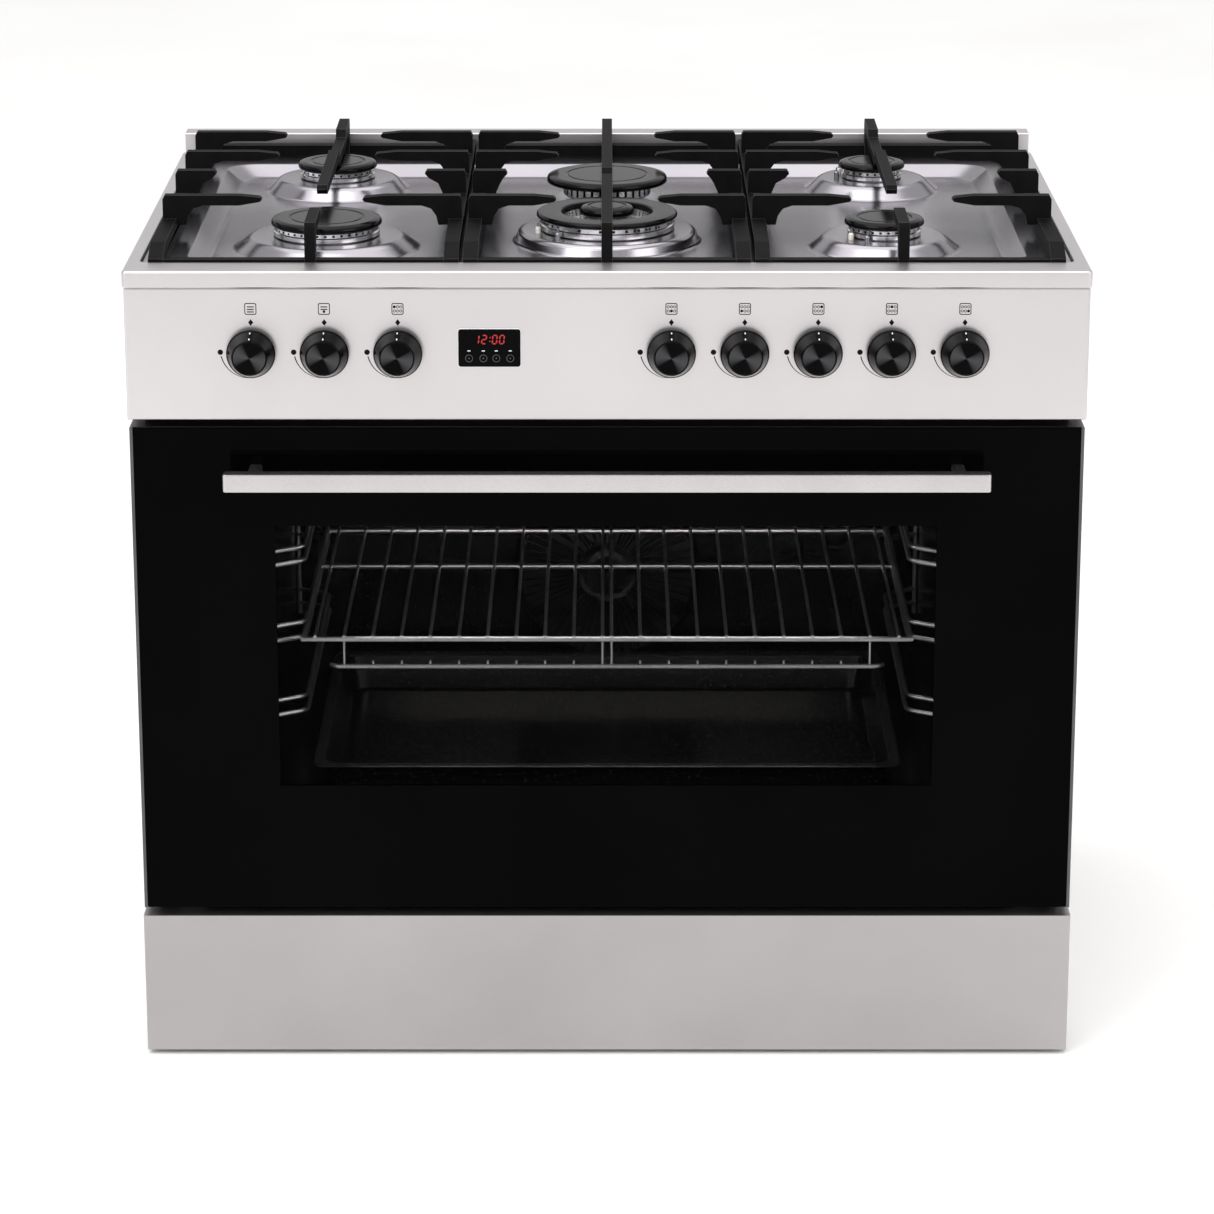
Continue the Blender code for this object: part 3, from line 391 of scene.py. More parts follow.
# %% [markdown]
# ## The door
# The door is a steel frame with a full-width outer pane. The pane is one block. Four cuts
# along the window's borders split its faces, and the middle ones take the tinted material,
# so that the same sheet of glass is printed outside and clear inside.

# %% Door frame, pane and window
WINDOW_LEFT = -0.314
WINDOW_RIGHT = 0.312
WINDOW_LOW = 0.2795
WINDOW_HIGH = 0.5395
door_shell, _ = softened("door_frame", 0.0005)
keep("door_shell", door_shell, [trim_steel], "door", ["door_frame"])
pane_low, pane_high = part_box("door_outer_glass")
pane = block((pane_low.x, 0.0, pane_low.z), (pane_high.x, 0.004, pane_high.z), 0.0, 1, 0.0006)
for point, normal in (((WINDOW_LEFT, 0, 0), (1, 0, 0)), ((WINDOW_RIGHT, 0, 0), (1, 0, 0)),
                      ((0, 0, WINDOW_LOW), (0, 0, 1)), ((0, 0, WINDOW_HIGH), (0, 0, 1))):
    bmesh.ops.bisect_plane(pane, geom=pane.verts[:] + pane.edges[:] + pane.faces[:],
                           plane_co=point, plane_no=normal)
for face in pane.faces:
    middle = face.calc_center_median()
    if WINDOW_LEFT < middle.x < WINDOW_RIGHT and WINDOW_LOW < middle.z < WINDOW_HIGH:
        face.material_index = 1
keep("door_pane", pane, [black_glass, window_glass], "door",
     ["door_outer_glass"])

# %% [markdown]
# ## The handle
# A square-section bar with well-rounded ends stands off the glass on two posts. The bar's
# long edges have a radius of a few millimetres, which draws the bright line along its top
# and the dark one under it.

# %% Handle bar and posts
bar_low, bar_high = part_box("door_handle")
BAR_BACK = -0.031
POST_X = 0.330
POST_HALF = 0.006
bar = block((bar_low.x, bar_low.y - FRONT_Y, bar_low.z), (bar_high.x, BAR_BACK, bar_high.z),
            0.0030, 2, 0.0012)
posts = [block((side * POST_X - POST_HALF, BAR_BACK - 0.002, bar_low.z + 0.002),
               (side * POST_X + POST_HALF, -0.0003, bar_high.z - 0.002), 0.002, 1)
         for side in (-1, 1)]
keep("door_grip", merged([bar] + posts), [handle_steel], "door",
     ["door_handle"])

# %% [markdown]
# ## Round pieces
# Everything turned or pressed round, such as burners, knobs and feet, starts as half its
# outline: points of radius and height. Spinning the line by a full turn makes the skin. The
# doubles on the axis are merged first and the normals are turned outwards after it. Real
# outlines have small radii, so `rounded` swaps each corner of the line for a short arc.

# %% Rounded lines, and the spin


def rounded(points, radius, steps=4):
    """The same line with each inner corner swapped for an arc that starts `radius` away."""
    made = [Vector(points[0])]
    for before, corner, after in zip(points, points[1:], points[2:]):
        corner = Vector(corner)
        back = Vector(before) - corner
        on = Vector(after) - corner
        reach = min(radius, back.length * 0.48, on.length * 0.48)
        start = corner + back.normalized() * reach
        end = corner + on.normalized() * reach
        for step in range(steps + 1):
            share = step / steps
            made.append(start.lerp(corner, share).lerp(corner.lerp(end, share), share))
    made.append(Vector(points[-1]))
    return made


def spun(outline, centre, steps=72):
    """Spins (radius, height) points round the upright axis through a centre."""
    bm = bmesh.new()
    verts = [bm.verts.new((radius, 0.0, height)) for radius, height in outline]
    edges = [bm.edges.new(pair) for pair in zip(verts, verts[1:])]
    bmesh.ops.spin(bm, geom=verts + edges, axis=(0, 0, 1), cent=(0, 0, 0), dvec=(0, 0, 0),
                   angle=2 * math.pi, steps=steps, use_merge=True)
    bmesh.ops.remove_doubles(bm, verts=bm.verts, dist=0.000005)
    bmesh.ops.recalc_face_normals(bm, faces=bm.faces)
    bmesh.ops.translate(bm, vec=at(*centre), verts=bm.verts)
    return bm


foot_outline = rounded([(0, 0), (0.018, 0), (0.018, 0.008), (0.0125, 0.011), (0.0125, 0.0102),
                        (0, 0.0102)], 0.0012)
for node in [n for n in frame["nodes"] if n.startswith("foot_")]:
    low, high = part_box(node)
    middle = (low + high) / 2
    place = (middle.x, middle.y - FRONT_Y, 0.0)
    thread = spun([(0, 0.0100), (0.005, 0.0100), (0.005, high.z - 0.0002),
                   (0, high.z - 0.0002)], place, 24)
    for face in thread.faces:
        face.material_index = 1
    keep("levelling_" + node, merged([spun(foot_outline, place, 40), thread]),
         [rubber, screw_metal], "root", [node])

# %% [markdown]
# ## The pressed hob
# The hob is one sheet, pressed in steps: a raised rim, a narrow ledge that carries the pan
# supports, and a shallow well with a raised dome round each burner. Each step is a rounded
# rectangle at its own height. The first is a grid's single face with its four corners
# rounded. Extruding that face again and again, and setting each new one to its own size,
# corner radius and height, draws the sheet down as the press does. The last face is the
# floor. The domes are spun and stand on it.

# %% Rounded rectangles, drawn down
PRESS_STEPS = 8


def level_face(bm, low, high, z, radius):
    """A flat rounded rectangle between two (x, depth) corners, as one face."""
    others = set(bm.faces)
    verts = bmesh.ops.create_grid(bm, x_segments=1, y_segments=1, size=0.5)["verts"]
    bmesh.ops.scale(bm, vec=(high[0] - low[0], high[1] - low[1], 1.0), verts=verts)
    bmesh.ops.translate(bm, vec=at((low[0] + high[0]) / 2, (low[1] + high[1]) / 2, z),
                        verts=verts)
    bmesh.ops.bevel(bm, geom=verts, offset=radius, segments=PRESS_STEPS, profile=0.5,
                    affect="VERTICES", material=-1)
    return (set(bm.faces) - others).pop()


def pressed(levels):
    """Draws a rounded rectangle from level to level; each is (low, high, z, radius)."""
    bm = bmesh.new()
    face = level_face(bm, *levels[0])
    bmesh.ops.duplicate(bm, geom=[face])
    for (low, high, _, radius), (next_low, next_high, z, next_radius) in zip(levels, levels[1:]):
        face = bmesh.ops.extrude_discrete_faces(bm, faces=[face])["faces"][0]
        for vert in face.verts:
            for axis in (0, 1):
                shift = FRONT_Y if axis else 0.0
                middle = shift + (low[axis] + high[axis]) / 2
                side = math.copysign(1.0, vert.co[axis] - middle)
                corner = middle + side * ((high[axis] - low[axis]) / 2 - radius)
                share = (vert.co[axis] - corner) / radius
                next_corner = (shift + (next_low[axis] + next_high[axis]) / 2
                               + side * ((next_high[axis] - next_low[axis]) / 2 - next_radius))
                vert.co[axis] = next_corner + share * next_radius
            vert.co.z = z
    bmesh.ops.remove_doubles(bm, verts=bm.verts, dist=0.000005)
    bmesh.ops.recalc_face_normals(bm, faces=bm.faces)
    return bm


def shrunk(low, high, by):
    """The same rectangle, smaller by a margin all round."""
    return (low[0] + by, low[1] + by), (high[0] - by, high[1] - by)


# %% [markdown]
# The levels below follow the sheet from its lower edge, which turns in a little so that a thin
# shadow parts it from the panel, up over the rim and down to the well. The rim and lip take the
# paler satin finish and everything inside the ledge the polished one, whose darker colour is
# painted shade on the same sheet.

# %% The pan of the hob
hob_low, hob_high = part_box("hob_top")
RIM = ((hob_low.x, hob_low.y - FRONT_Y), (hob_high.x, hob_high.y - FRONT_Y))
LEDGE = ((-0.437, 0.033), (0.437, 0.570))
WELL = ((-0.396, 0.048), (0.396, 0.520))
WELL_FOOT = ((-0.379, 0.065), (0.379, 0.503))
LEDGE_Z = 0.784
FLOOR_Z = 0.773
rim_top = hob_high.z
pan = pressed([
    (*shrunk(*RIM, 0.0012), hob_low.z, 0.0033),
    (*RIM, hob_low.z + 0.0014, 0.0045),
    (*RIM, rim_top - 0.0030, 0.0045),
    (*shrunk(*RIM, 0.0004), rim_top - 0.0014, 0.0041),
    (*shrunk(*RIM, 0.0014), rim_top - 0.0003, 0.0033),
    (*shrunk(*RIM, 0.0028), rim_top, 0.0022),
    (*shrunk(*LEDGE, -0.0012), rim_top, 0.0092),
    (*shrunk(*LEDGE, -0.0004), rim_top - 0.0006, 0.0084),
    (*LEDGE, LEDGE_Z + 0.0005, 0.0080),
    (*shrunk(*LEDGE, 0.0005), LEDGE_Z, 0.0075),
    (*shrunk(*WELL, -0.0015), LEDGE_Z, 0.0315),
    (*WELL, LEDGE_Z - 0.0006, 0.0300),
    (*shrunk(*WELL_FOOT, -0.0030), FLOOR_Z + 0.0016, 0.0290),
    (*shrunk(*WELL_FOOT, -0.0010), FLOOR_Z + 0.0003, 0.0280),
    (*shrunk(*WELL_FOOT, 0.0015), FLOOR_Z, 0.0270),
])
# Faces outside the ledge take the paler satin colour; the darker one inside is painted shade.
for face in pan.faces:
    middle = face.calc_center_median()
    across = LEDGE[0][0] < middle.x < LEDGE[1][0]
    if not across or not LEDGE[0][1] < middle.y - FRONT_Y < LEDGE[1][1]:
        face.material_index = 1
print("hob pressing:", len(pan.faces), "faces")

# %% [markdown]
# The six burner places come next. A table holds each one's centre, its dome, crown and cap,
# in the order that a fitter would read a spares list. The crown is the cast ring with the
# flame ports, and the cap is the enamelled lid that lies on it.

# %% Burner table and domes
# place: (x, depth, cap radius, crown radius, dome's top radius, dome's base radius, ports)
CORNER_BURNERS = {
    "front_left": (-0.271, 0.165, 0.0535, 0.0515, 0.0725, 0.0890, 40),
    "rear_left": (-0.278, 0.445, 0.0405, 0.0385, 0.0590, 0.0730, 30),
    "rear_right": (0.273, 0.445, 0.0340, 0.0310, 0.0525, 0.0685, 24),
    "front_right": (0.268, 0.165, 0.0385, 0.03575, 0.0565, 0.0725, 28),
}
WOK = (0.0, 0.195)
CENTRE_REAR = (0.0, 0.340)
DOME_Z = 0.7855
CROWN_FOOT = 0.7850


def dome(x, depth, top, base):
    """A pressed dome that grows out of the well's floor with soft shoulders."""
    skirt = [(0, FLOOR_Z - 0.0004), (base + 0.006, FLOOR_Z - 0.0004),
             (base + 0.006, FLOOR_Z + 0.00003), (base, FLOOR_Z + 0.0001),
             (top + 0.004, DOME_Z - 0.0022), (top, DOME_Z), (0, DOME_Z)]
    return spun(skirt[:2] + [tuple(p) for p in rounded(skirt[2:], 0.006, 6)],
                (x, depth, 0.0), 96)


domes = [dome(x, depth, top, base)
         for x, depth, _, _, top, base, _ in CORNER_BURNERS.values()]
domes.append(dome(*WOK, 0.0825, 0.0900))
domes.append(dome(*CENTRE_REAR, 0.0560, 0.0600))
keep("hob_pressing", merged([pan] + domes), [hob_steel, satin_steel], "root",
     ["hob_top"])

# %% [markdown]
# ## Flame crowns
# A crown is turned, then a row of ports is drilled through its rim. The spin gets two steps
# for each port, and every second face of the rim is inset and pushed inwards. That gives real
# holes, at a few faces each, whose inside is painted near-black as painted shade.

# %% Crown with its ports


def drill_ports(bm, x, depth, low, high):
    """Opens every second upright face between two heights as a small hole."""
    centre = at(x, depth, 0.0)
    band = [f for f in bm.faces if low < f.calc_center_median().z < high
            and abs(f.normal.z) < 0.2 and f.calc_area() > 0.000002]
    band.sort(key=lambda f: math.atan2(*(f.calc_center_median() - centre).yx))
    ports = band[::2]
    bmesh.ops.inset_individual(bm, faces=ports, thickness=0.0010)
    # The port faces take the near-black finish: painted shade inside the holes.
    for face in ports:
        face.material_index = 1
    pushed = bmesh.ops.extrude_discrete_faces(bm, faces=ports)["faces"]
    for face in pushed:
        bmesh.ops.translate(bm, vec=face.normal * -0.0025, verts=face.verts)
        face.material_index = 1


def crown(name, x, depth, radius, ports, node):
    """A corner burner's flame crown with its row of ports."""
    outline = [(0, CROWN_FOOT), (radius - 0.0050, CROWN_FOOT), (radius - 0.0050, 0.7862),
               (radius - 0.0006, 0.7864), (radius, 0.7870), (radius, 0.7906),
               (radius - 0.0012, 0.7916), (radius - 0.0012, 0.7952), (radius - 0.0022, 0.7960),
               (0, 0.7960)]
    bm = spun(outline, (x, depth, 0.0), ports * 2)
    drill_ports(bm, x, depth, 0.7920, 0.7948)
    keep(name, bm, [crown_metal, hole_painted_shade], "root", [node])


for place, (x, depth, _, ring, _, _, ports) in CORNER_BURNERS.items():
    crown("flame_crown_" + place, x, depth, ring, ports, f"burner_{place}_crown")

# %% [markdown]
# ## Burner caps
# Each cap is a shallow enamelled disc. A shallow groove runs round its top, and its rim
# curves down over the crown. The wok burner has two of them, an outer ring and a small
# inner cap on its own crown, and the disc behind it stands higher on a stem.

# %% Caps
CAP_LOW = 0.7963
CAP_HIGH = 0.8030


def cap_outline(radius, low, high):
    """Half outline of a cap: flat top with a groove, rounded rim, flat underside."""
    groove = radius * 0.66
    top = [(0, high), (groove - 0.0014, high), (groove - 0.0006, high - 0.0007),
           (groove + 0.0006, high - 0.0007), (groove + 0.0014, high)]
    rim = [(radius - 0.0060, high), (radius - 0.0012, high - 0.0012),
           (radius, high - 0.0036), (radius, low + 0.0008), (radius - 0.0008, low), (0, low)]
    return rounded(top + rim, 0.0012, 3)


for place, (x, depth, radius, _, _, _, _) in CORNER_BURNERS.items():
    keep("flame_cap_" + place, spun(cap_outline(radius, CAP_LOW, CAP_HIGH), (x, depth, 0.0), 80),
         [cap_enamel], "root", [f"burner_{place}_cap"])

wok_crown = spun([(0, CROWN_FOOT), (0.0590, CROWN_FOOT), (0.0590, 0.7862), (0.0654, 0.7864),
                  (0.0660, 0.7870), (0.0660, 0.7916), (0.0648, 0.7926), (0.0648, 0.7966),
                  (0.0638, 0.7975), (0.0420, 0.7975), (0.0410, 0.7905), (0.0245, 0.7905),
                  (0.0230, 0.7915), (0.0230, 0.7985), (0.0220, 0.7995), (0, 0.7995)],
                 (*WOK, 0.0), 96)
drill_ports(wok_crown, *WOK, 0.7930, 0.7962)
keep("wok_crown", wok_crown, [crown_metal, hole_painted_shade], "root",
     ["burner_wok_crown"])
ring_line = rounded([(0.0560, 0.8030), (0.0665, 0.8026), (0.0685, 0.8008), (0.0685, 0.7984),
                     (0.0676, 0.7978), (0.0444, 0.7978), (0.0435, 0.7984), (0.0435, 0.8012),
                     (0.0455, 0.8028), (0.0560, 0.8030)], 0.0010, 3)
keep("wok_ring_cap", spun(ring_line, (*WOK, 0.0), 96), [cap_enamel], "root",
     ["burner_wok_ring_cap"])
keep("wok_inner_cap", spun(cap_outline(0.0260, 0.7998, 0.8080), (*WOK, 0.0), 64), [cap_enamel],
     "root", ["burner_wok_inner_cap"])
keep("centre_rear_lid", spun(cap_outline(0.0605, 0.8026, 0.8100), (*CENTRE_REAR, 0.0), 96),
     [cap_enamel], "root", ["burner_centre_rear"])
stem = spun([(0, CROWN_FOOT), (0.0360, CROWN_FOOT), (0.0360, 0.7890), (0.0432, 0.7900),
             (0.0440, 0.7912), (0.0440, 0.8004), (0.0430, 0.8016), (0.0400, 0.8026),
             (0, 0.8026)], (*CENTRE_REAR, 0.0), 64)
drill_ports(stem, *CENTRE_REAR, 0.7912, 0.8000)
keep("centre_rear_crown", stem, [crown_metal, hole_painted_shade], "root",
     ["burner_centre_rear"])

# %% [markdown]
# ## Spark pins
# Beside every crown stands a ceramic pin with a steel tip that throws the spark, and a thin
# steel probe that feels the flame. Both are only a few millimetres thick, so a spin of few
# steps is fine enough.

# %% Spark pins and probes
PIN_GAP = 0.0050
pins = []
for x, depth, reach, turn in [(v[0], v[1], v[3], 35 + 60 * i) for i, v in
                              enumerate(CORNER_BURNERS.values())] + [(*WOK, 0.0660, 200)]:
    for kind, angle in enumerate((turn, turn + 28)):
        off = reach + PIN_GAP
        place = (x + off * math.cos(math.radians(angle)),
                 depth + off * math.sin(math.radians(angle)), 0.0)
        body = spun(rounded([(0, CROWN_FOOT), (0.0026, CROWN_FOOT), (0.0026, 0.7905),
                             (0.0016, 0.7918), (0, 0.7918)], 0.0006, 2), place, 16)
        tip = spun([(0, 0.7915), (0.0008, 0.7915), (0.0008, 0.7958), (0, 0.7964)], place, 10)
        for face in body.faces:
            face.material_index = kind
        for face in tip.faces:
            face.material_index = 1
        pins += [body, tip]
keep("spark_pins", merged(pins), [ceramic, screw_metal], "root")

# %% [markdown]
# ## Pan supports
# Three cast-iron grates carry the pans. Their shape comes straight from the CAD. The copy's
# edges are rounded by a millimetre and more, as the foundry's mould leaves them, and those
# narrow faces take a paler grey: a painted highlight.

# %% Cast grates
for place in ("left", "centre", "right"):
    node = "pan_support_" + place
    grate, edges = softened(node, 0.0011)
    # The bevel's faces take the paler grey: a painted highlight on every edge.
    for face in edges:
        if face.is_valid:
            face.material_index = 1
    keep("cast_grate_" + place, grate, [cast_iron, iron_edge_painted_highlight], node, [node])

# %% [markdown]
# ## Knobs
# A knob is a gloss black cone with a wide skirt and a flat, turned face. The face is cut on a
# lathe, so its fine rings stretch each highlight into a bow-tie wedge. Anisotropic gloss does
# that when it is told which way the rings run, and a UV map whose U goes round the face tells
# it. Two white dashes on the slope show where the knob points.

# %% Turned-face material
# Lathe-turned black face: rings bend the light into two wedges.
turned_face = surface("turned_black_face", "101011", "3C3C3E", 10, 0.4, (0.26, 0.34), 0.0,
                      metallic=1.0, Anisotropic=0.85)
face_tree = turned_face.node_tree
# Soft lamps are too wide to draw the two wedges sharply, so the colour helps: the sine of
# twice the angle round the face lightens two opposite sides. It is painted, so it stays with
# the knob when the knob turns.
face_place = add(face_tree, "UVMap", uv_map="rings")
face_axes = add(face_tree, "SeparateXYZ", {0: face_place.outputs[0]})
face_turn = add(face_tree, "Math", {0: face_axes.outputs[0], 1: 4 * math.pi},
                operation="MULTIPLY")
face_wave = add(face_tree, "Math", {0: face_turn.outputs[0], 1: 2.2}, operation="ADD")
face_wave = add(face_tree, "Math", {0: face_wave.outputs[0]}, operation="SINE")
face_share = add(face_tree, "MapRange", {"Value": face_wave.outputs[0], "From Min": -0.2,
                                         "From Max": 1.0})
face_grey = add(face_tree, "Mix", {0: face_share.outputs[0], 6: linear("0E0E0F"),
                                   7: linear("48484A")}, data_type="RGBA")
face_tree.links.new(face_grey.outputs[2], face_tree.nodes["Principled BSDF"].inputs["Base Color"])
round_way = add(face_tree, "Tangent", direction_type="UV_MAP", uv_map="rings")
face_tree.links.new(round_way.outputs[0],
                    face_tree.nodes["Principled BSDF"].inputs["Tangent"])

# %% [markdown]
# The knob itself is spun about the upright axis and then laid down to face forwards. The dashes
# are thin blocks, tilted to lie on the slope. Body and marks ride on the knob, so they turn
# with it.

# %% The knobs
KNOB_Z = 0.7085
KNOB_BACK = -0.0045
KNOB_LENGTH = 0.0215
SKIRT = 0.0230
FACE = 0.0158
TO_FRONT = Matrix.Rotation(math.radians(90), 4, "X")
knob_line = rounded([(0, 0), (0.0222, 0), (SKIRT, 0.0008), (SKIRT, 0.0040), (0.0218, 0.0054),
                     (0.0168, 0.0202), (0.0162, KNOB_LENGTH), (FACE - 0.0006, KNOB_LENGTH),
                     (FACE - 0.0008, KNOB_LENGTH - 0.0004), (0, KNOB_LENGTH - 0.0004)],
                    0.0012, 4)


def turned_to_front(bm, x):
    """Lays a piece spun about Z onto the knob's axis, facing forwards."""
    bmesh.ops.translate(bm, vec=-at(0, 0, 0), verts=bm.verts)
    bmesh.ops.transform(bm, matrix=Matrix.Translation(at(x, KNOB_BACK, KNOB_Z)) @ TO_FRONT,
                        verts=bm.verts)
    return bm


def ring_map(bm, x):
    """A UV map whose U runs round the knob's axis."""
    layer = bm.loops.layers.uv.new("rings")
    for face in bm.faces:
        middle = face.calc_center_median()
        base = math.atan2(middle.z - KNOB_Z, middle.x - x)
        for loop in face.loops:
            away = loop.vert.co - Vector((x, loop.vert.co.y, KNOB_Z))
            turn = base
            if away.length > 0.0001:
                turn = math.atan2(away.z, away.x)
            turn += 2 * math.pi * round((base - turn) / (2 * math.pi))
            loop[layer].uv = (turn / (2 * math.pi), away.length / SKIRT)


def dash(x, near, far):
    """A white bar on the slope at twelve o'clock, between two distances from the back."""
    slope = math.atan2(0.0218 - 0.0168, 0.0202 - 0.0054)
    bm = bmesh.new()
    bmesh.ops.create_cube(bm, size=1.0)
    bmesh.ops.scale(bm, vec=(0.0011, far - near, 0.0003), verts=bm.verts)
    middle = (near + far) / 2
    height = 0.0218 - (middle - 0.0054) * math.tan(slope)
    turn = Matrix.Rotation(slope, 4, "X")
    bmesh.ops.transform(bm, matrix=Matrix.Translation(
        at(x, KNOB_BACK - middle, KNOB_Z + height)) @ turn, verts=bm.verts)
    return bm


for number in range(1, 9):
    low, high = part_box(f"knob_{number}")
    x = (low.x + high.x) / 2
    body = turned_to_front(spun(knob_line, (0, 0, 0), 80), x)
    for face in body.faces:
        middle = face.calc_center_median() - Vector((x, 0, KNOB_Z))
        if Vector((middle.x, middle.z)).length < FACE - 0.0008 and face.normal.y < -0.9:
            face.material_index = 1
    ring_map(body, x)
    marks = merged([dash(x, 0.0066, 0.0092), dash(x, 0.0165, 0.0192)])
    for face in marks.faces:
        face.material_index = 2
    keep(f"control_knob_{number}", merged([body, marks]),
         [knob_plastic, turned_face, white_ink], f"knob_{number}",
         [f"knob_{number}"])

# %% [markdown]
# ## Prints
# Ink marks are flat shapes a few hundredths of a millimetre thick. A 2-D curve suits them:
# it fills closed outlines and leaves a hole where one lies inside another. Each set becomes a
# mesh before it is set upright on its surface.

# %% Flat outlines set upright


def ellipse(x, z, radius, steps=24):
    """A round outline."""
    turns = [2 * math.pi * step / steps for step in range(steps)]
    return [(x + radius * math.cos(a), z + radius * math.sin(a)) for a in turns]


def tile(x, z, half, radius):
    """A square outline with rounded corners."""
    made = []
    for quarter in range(4):
        for step in range(5):
            angle = math.radians(90 * quarter + 22.5 * step)
            cx = (half - radius) * (1 if quarter in (0, 3) else -1)
            cz = (half - radius) * (1 if quarter in (0, 1) else -1)
            made.append((x + cx + radius * math.cos(angle), z + cz + radius * math.sin(angle)))
    return made


def printed(outlines, depth, thickness=0.00012):
    """Fills outlines (x, z) as a thin upright layer whose back is at a depth."""
    curve = bpy.data.curves.new("print", "CURVE")
    curve.dimensions = "2D"
    curve.fill_mode = "BOTH"
    curve.extrude = thickness / 2
    for outline in outlines:
        spline = curve.splines.new("POLY")
        spline.points.add(len(outline) - 1)
        spline.use_cyclic_u = True
        for point, (x, z) in zip(spline.points, outline):
            point.co = (x, z, 0.0, 1.0)
    holder = bpy.data.objects.new("print", curve)
    bpy.context.scene.collection.objects.link(holder)
    seen = holder.evaluated_get(bpy.context.evaluated_depsgraph_get())
    mesh = bpy.data.meshes.new_from_object(seen)
    bpy.data.objects.remove(holder, do_unlink=True)
    bm = bmesh.new()
    bm.from_mesh(mesh)
    bmesh.ops.remove_doubles(bm, verts=bm.verts, dist=0.000002)
    bmesh.ops.recalc_face_normals(bm, faces=bm.faces)
    bmesh.ops.transform(bm, matrix=Matrix.Translation(at(0, depth - thickness / 2, 0))
                        @ TO_FRONT, verts=bm.verts)
    return bm


# %% [markdown]
# Round each knob the panel carries a diamond above it, a dot and a tapering arc at its left,
# and a small symbol. The symbols are plain: six little rings stand for the burners and bars
# stand for the oven.

# %% Marks round each knob
# Which of the six little rings is filled in, for each knob: (column, row) on a 3 x 2 map.
FILLED = {3: (0, 1), 4: (1, 0), 5: (0, 0), 6: (2, 1), 7: (1, 1), 8: (2, 0)}
ICON_Z = KNOB_Z + 0.0415
SWIRL_STEPS = 24
marks = []
for number in range(1, 9):
    low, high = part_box(f"knob_{number}")
    x = (low.x + high.x) / 2
    top = KNOB_Z + 0.0285
    marks.append([(x, top + 0.0032), (x + 0.0024, top), (x, top - 0.0032), (x - 0.0024, top)])
    marks.append(ellipse(x - 0.0290, KNOB_Z, 0.0026))
    swirl = []
    for side in (1, -1):
        for step in range(SWIRL_STEPS + 1):
            share = step / SWIRL_STEPS if side == 1 else 1 - step / SWIRL_STEPS
            angle = math.radians(188 + 84 * share)
            reach = 0.0285 - 0.0040 * share + side * 0.00042 * (1.25 - share)
            swirl.append((x + reach * math.cos(angle), KNOB_Z + reach * math.sin(angle)))
    marks.append(swirl)
    marks.append(tile(x, ICON_Z, 0.0056, 0.0018))
    marks.append(tile(x, ICON_Z, 0.0048, 0.0012))
    if number in FILLED:
        for column in range(3):
            for row in range(2):
                spot = (x + (column - 1) * 0.0030, ICON_Z + (row - 0.5) * 0.0040)
                marks.append(ellipse(*spot, 0.00140, 14))
                if (column, row) != FILLED[number]:
                    marks.append(ellipse(*spot, 0.00080, 14))
    else:
        for row in range(3 if number == 1 else 2):
            z = ICON_Z + 0.0024 - row * 0.0024
            marks.append([(x - 0.0032, z), (x + 0.0032, z), (x + 0.0032, z - 0.0010),
                          (x - 0.0032, z - 0.0010)])
        if number == 2:
            marks.append(ellipse(x, ICON_Z - 0.0026, 0.0013, 14))
keep("fascia_print", printed(marks, 0.0), [black_ink], "root")

# %% [markdown]
# ## The clock
# The clock's window is a small black pane with a ground edge that glints all round. Behind
# it glow four red seven-segment digits. Under them are four short white marks, and one ring
# for each touch key. Segments are drawn on a slight slant, as real displays do.

# %% Clock pane
clock_low, clock_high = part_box("timer_display")
CLOCK_FRONT = clock_low.y - FRONT_Y
clock = block((clock_low.x, CLOCK_FRONT, clock_low.z), (clock_high.x, 0.0010, clock_high.z),
              0.0028, 1, 0.0004)
for face in clock.faces:
    if face.normal.y > -0.95:
        face.material_index = 1
keep("clock_pane", clock, [display_glass, ground_edge], "root",
     ["timer_display"])

# %% [markdown]
# A seven-segment digit is a small grid of bars. Two tables describe it: one says where each bar
# runs, the other which bars each digit lights.

# %% Digits and touch marks
# Segments as (x, z) shares of a digit's cell: across 0 to 1, up 0 to 2.
SEGMENTS = {"a": ((0, 2), (1, 2)), "b": ((1, 2), (1, 1)), "c": ((1, 1), (1, 0)),
            "d": ((0, 0), (1, 0)), "e": ((0, 1), (0, 0)), "f": ((0, 2), (0, 1)),
            "g": ((0, 1), (1, 1))}
SHAPES = {"1": "bc", "2": "abged", "0": "abcdef"}
DIGIT_WIDTH = 0.0040
DIGIT_HALF = 0.0040
DIGIT_BASE = 0.7171
SLANT = 0.10
STROKE = 0.00055


def segment(left, name):
    """One lit bar of a digit, with pointed ends."""
    (ax, az), (bx, bz) = SEGMENTS[name]
    start = Vector((left + ax * DIGIT_WIDTH, DIGIT_BASE + az * DIGIT_HALF))
    end = Vector((left + bx * DIGIT_WIDTH, DIGIT_BASE + bz * DIGIT_HALF))
    along = (end - start).normalized()
    across = Vector((-along.y, along.x)) * STROKE
    line = [start + along * 0.0003, start + along * 0.0008 + across,
            end - along * 0.0008 + across, end - along * 0.0003,
            end - along * 0.0008 - across, start + along * 0.0008 - across]
    return [(p.x + (p.y - DIGIT_BASE) * SLANT, p.y) for p in line]


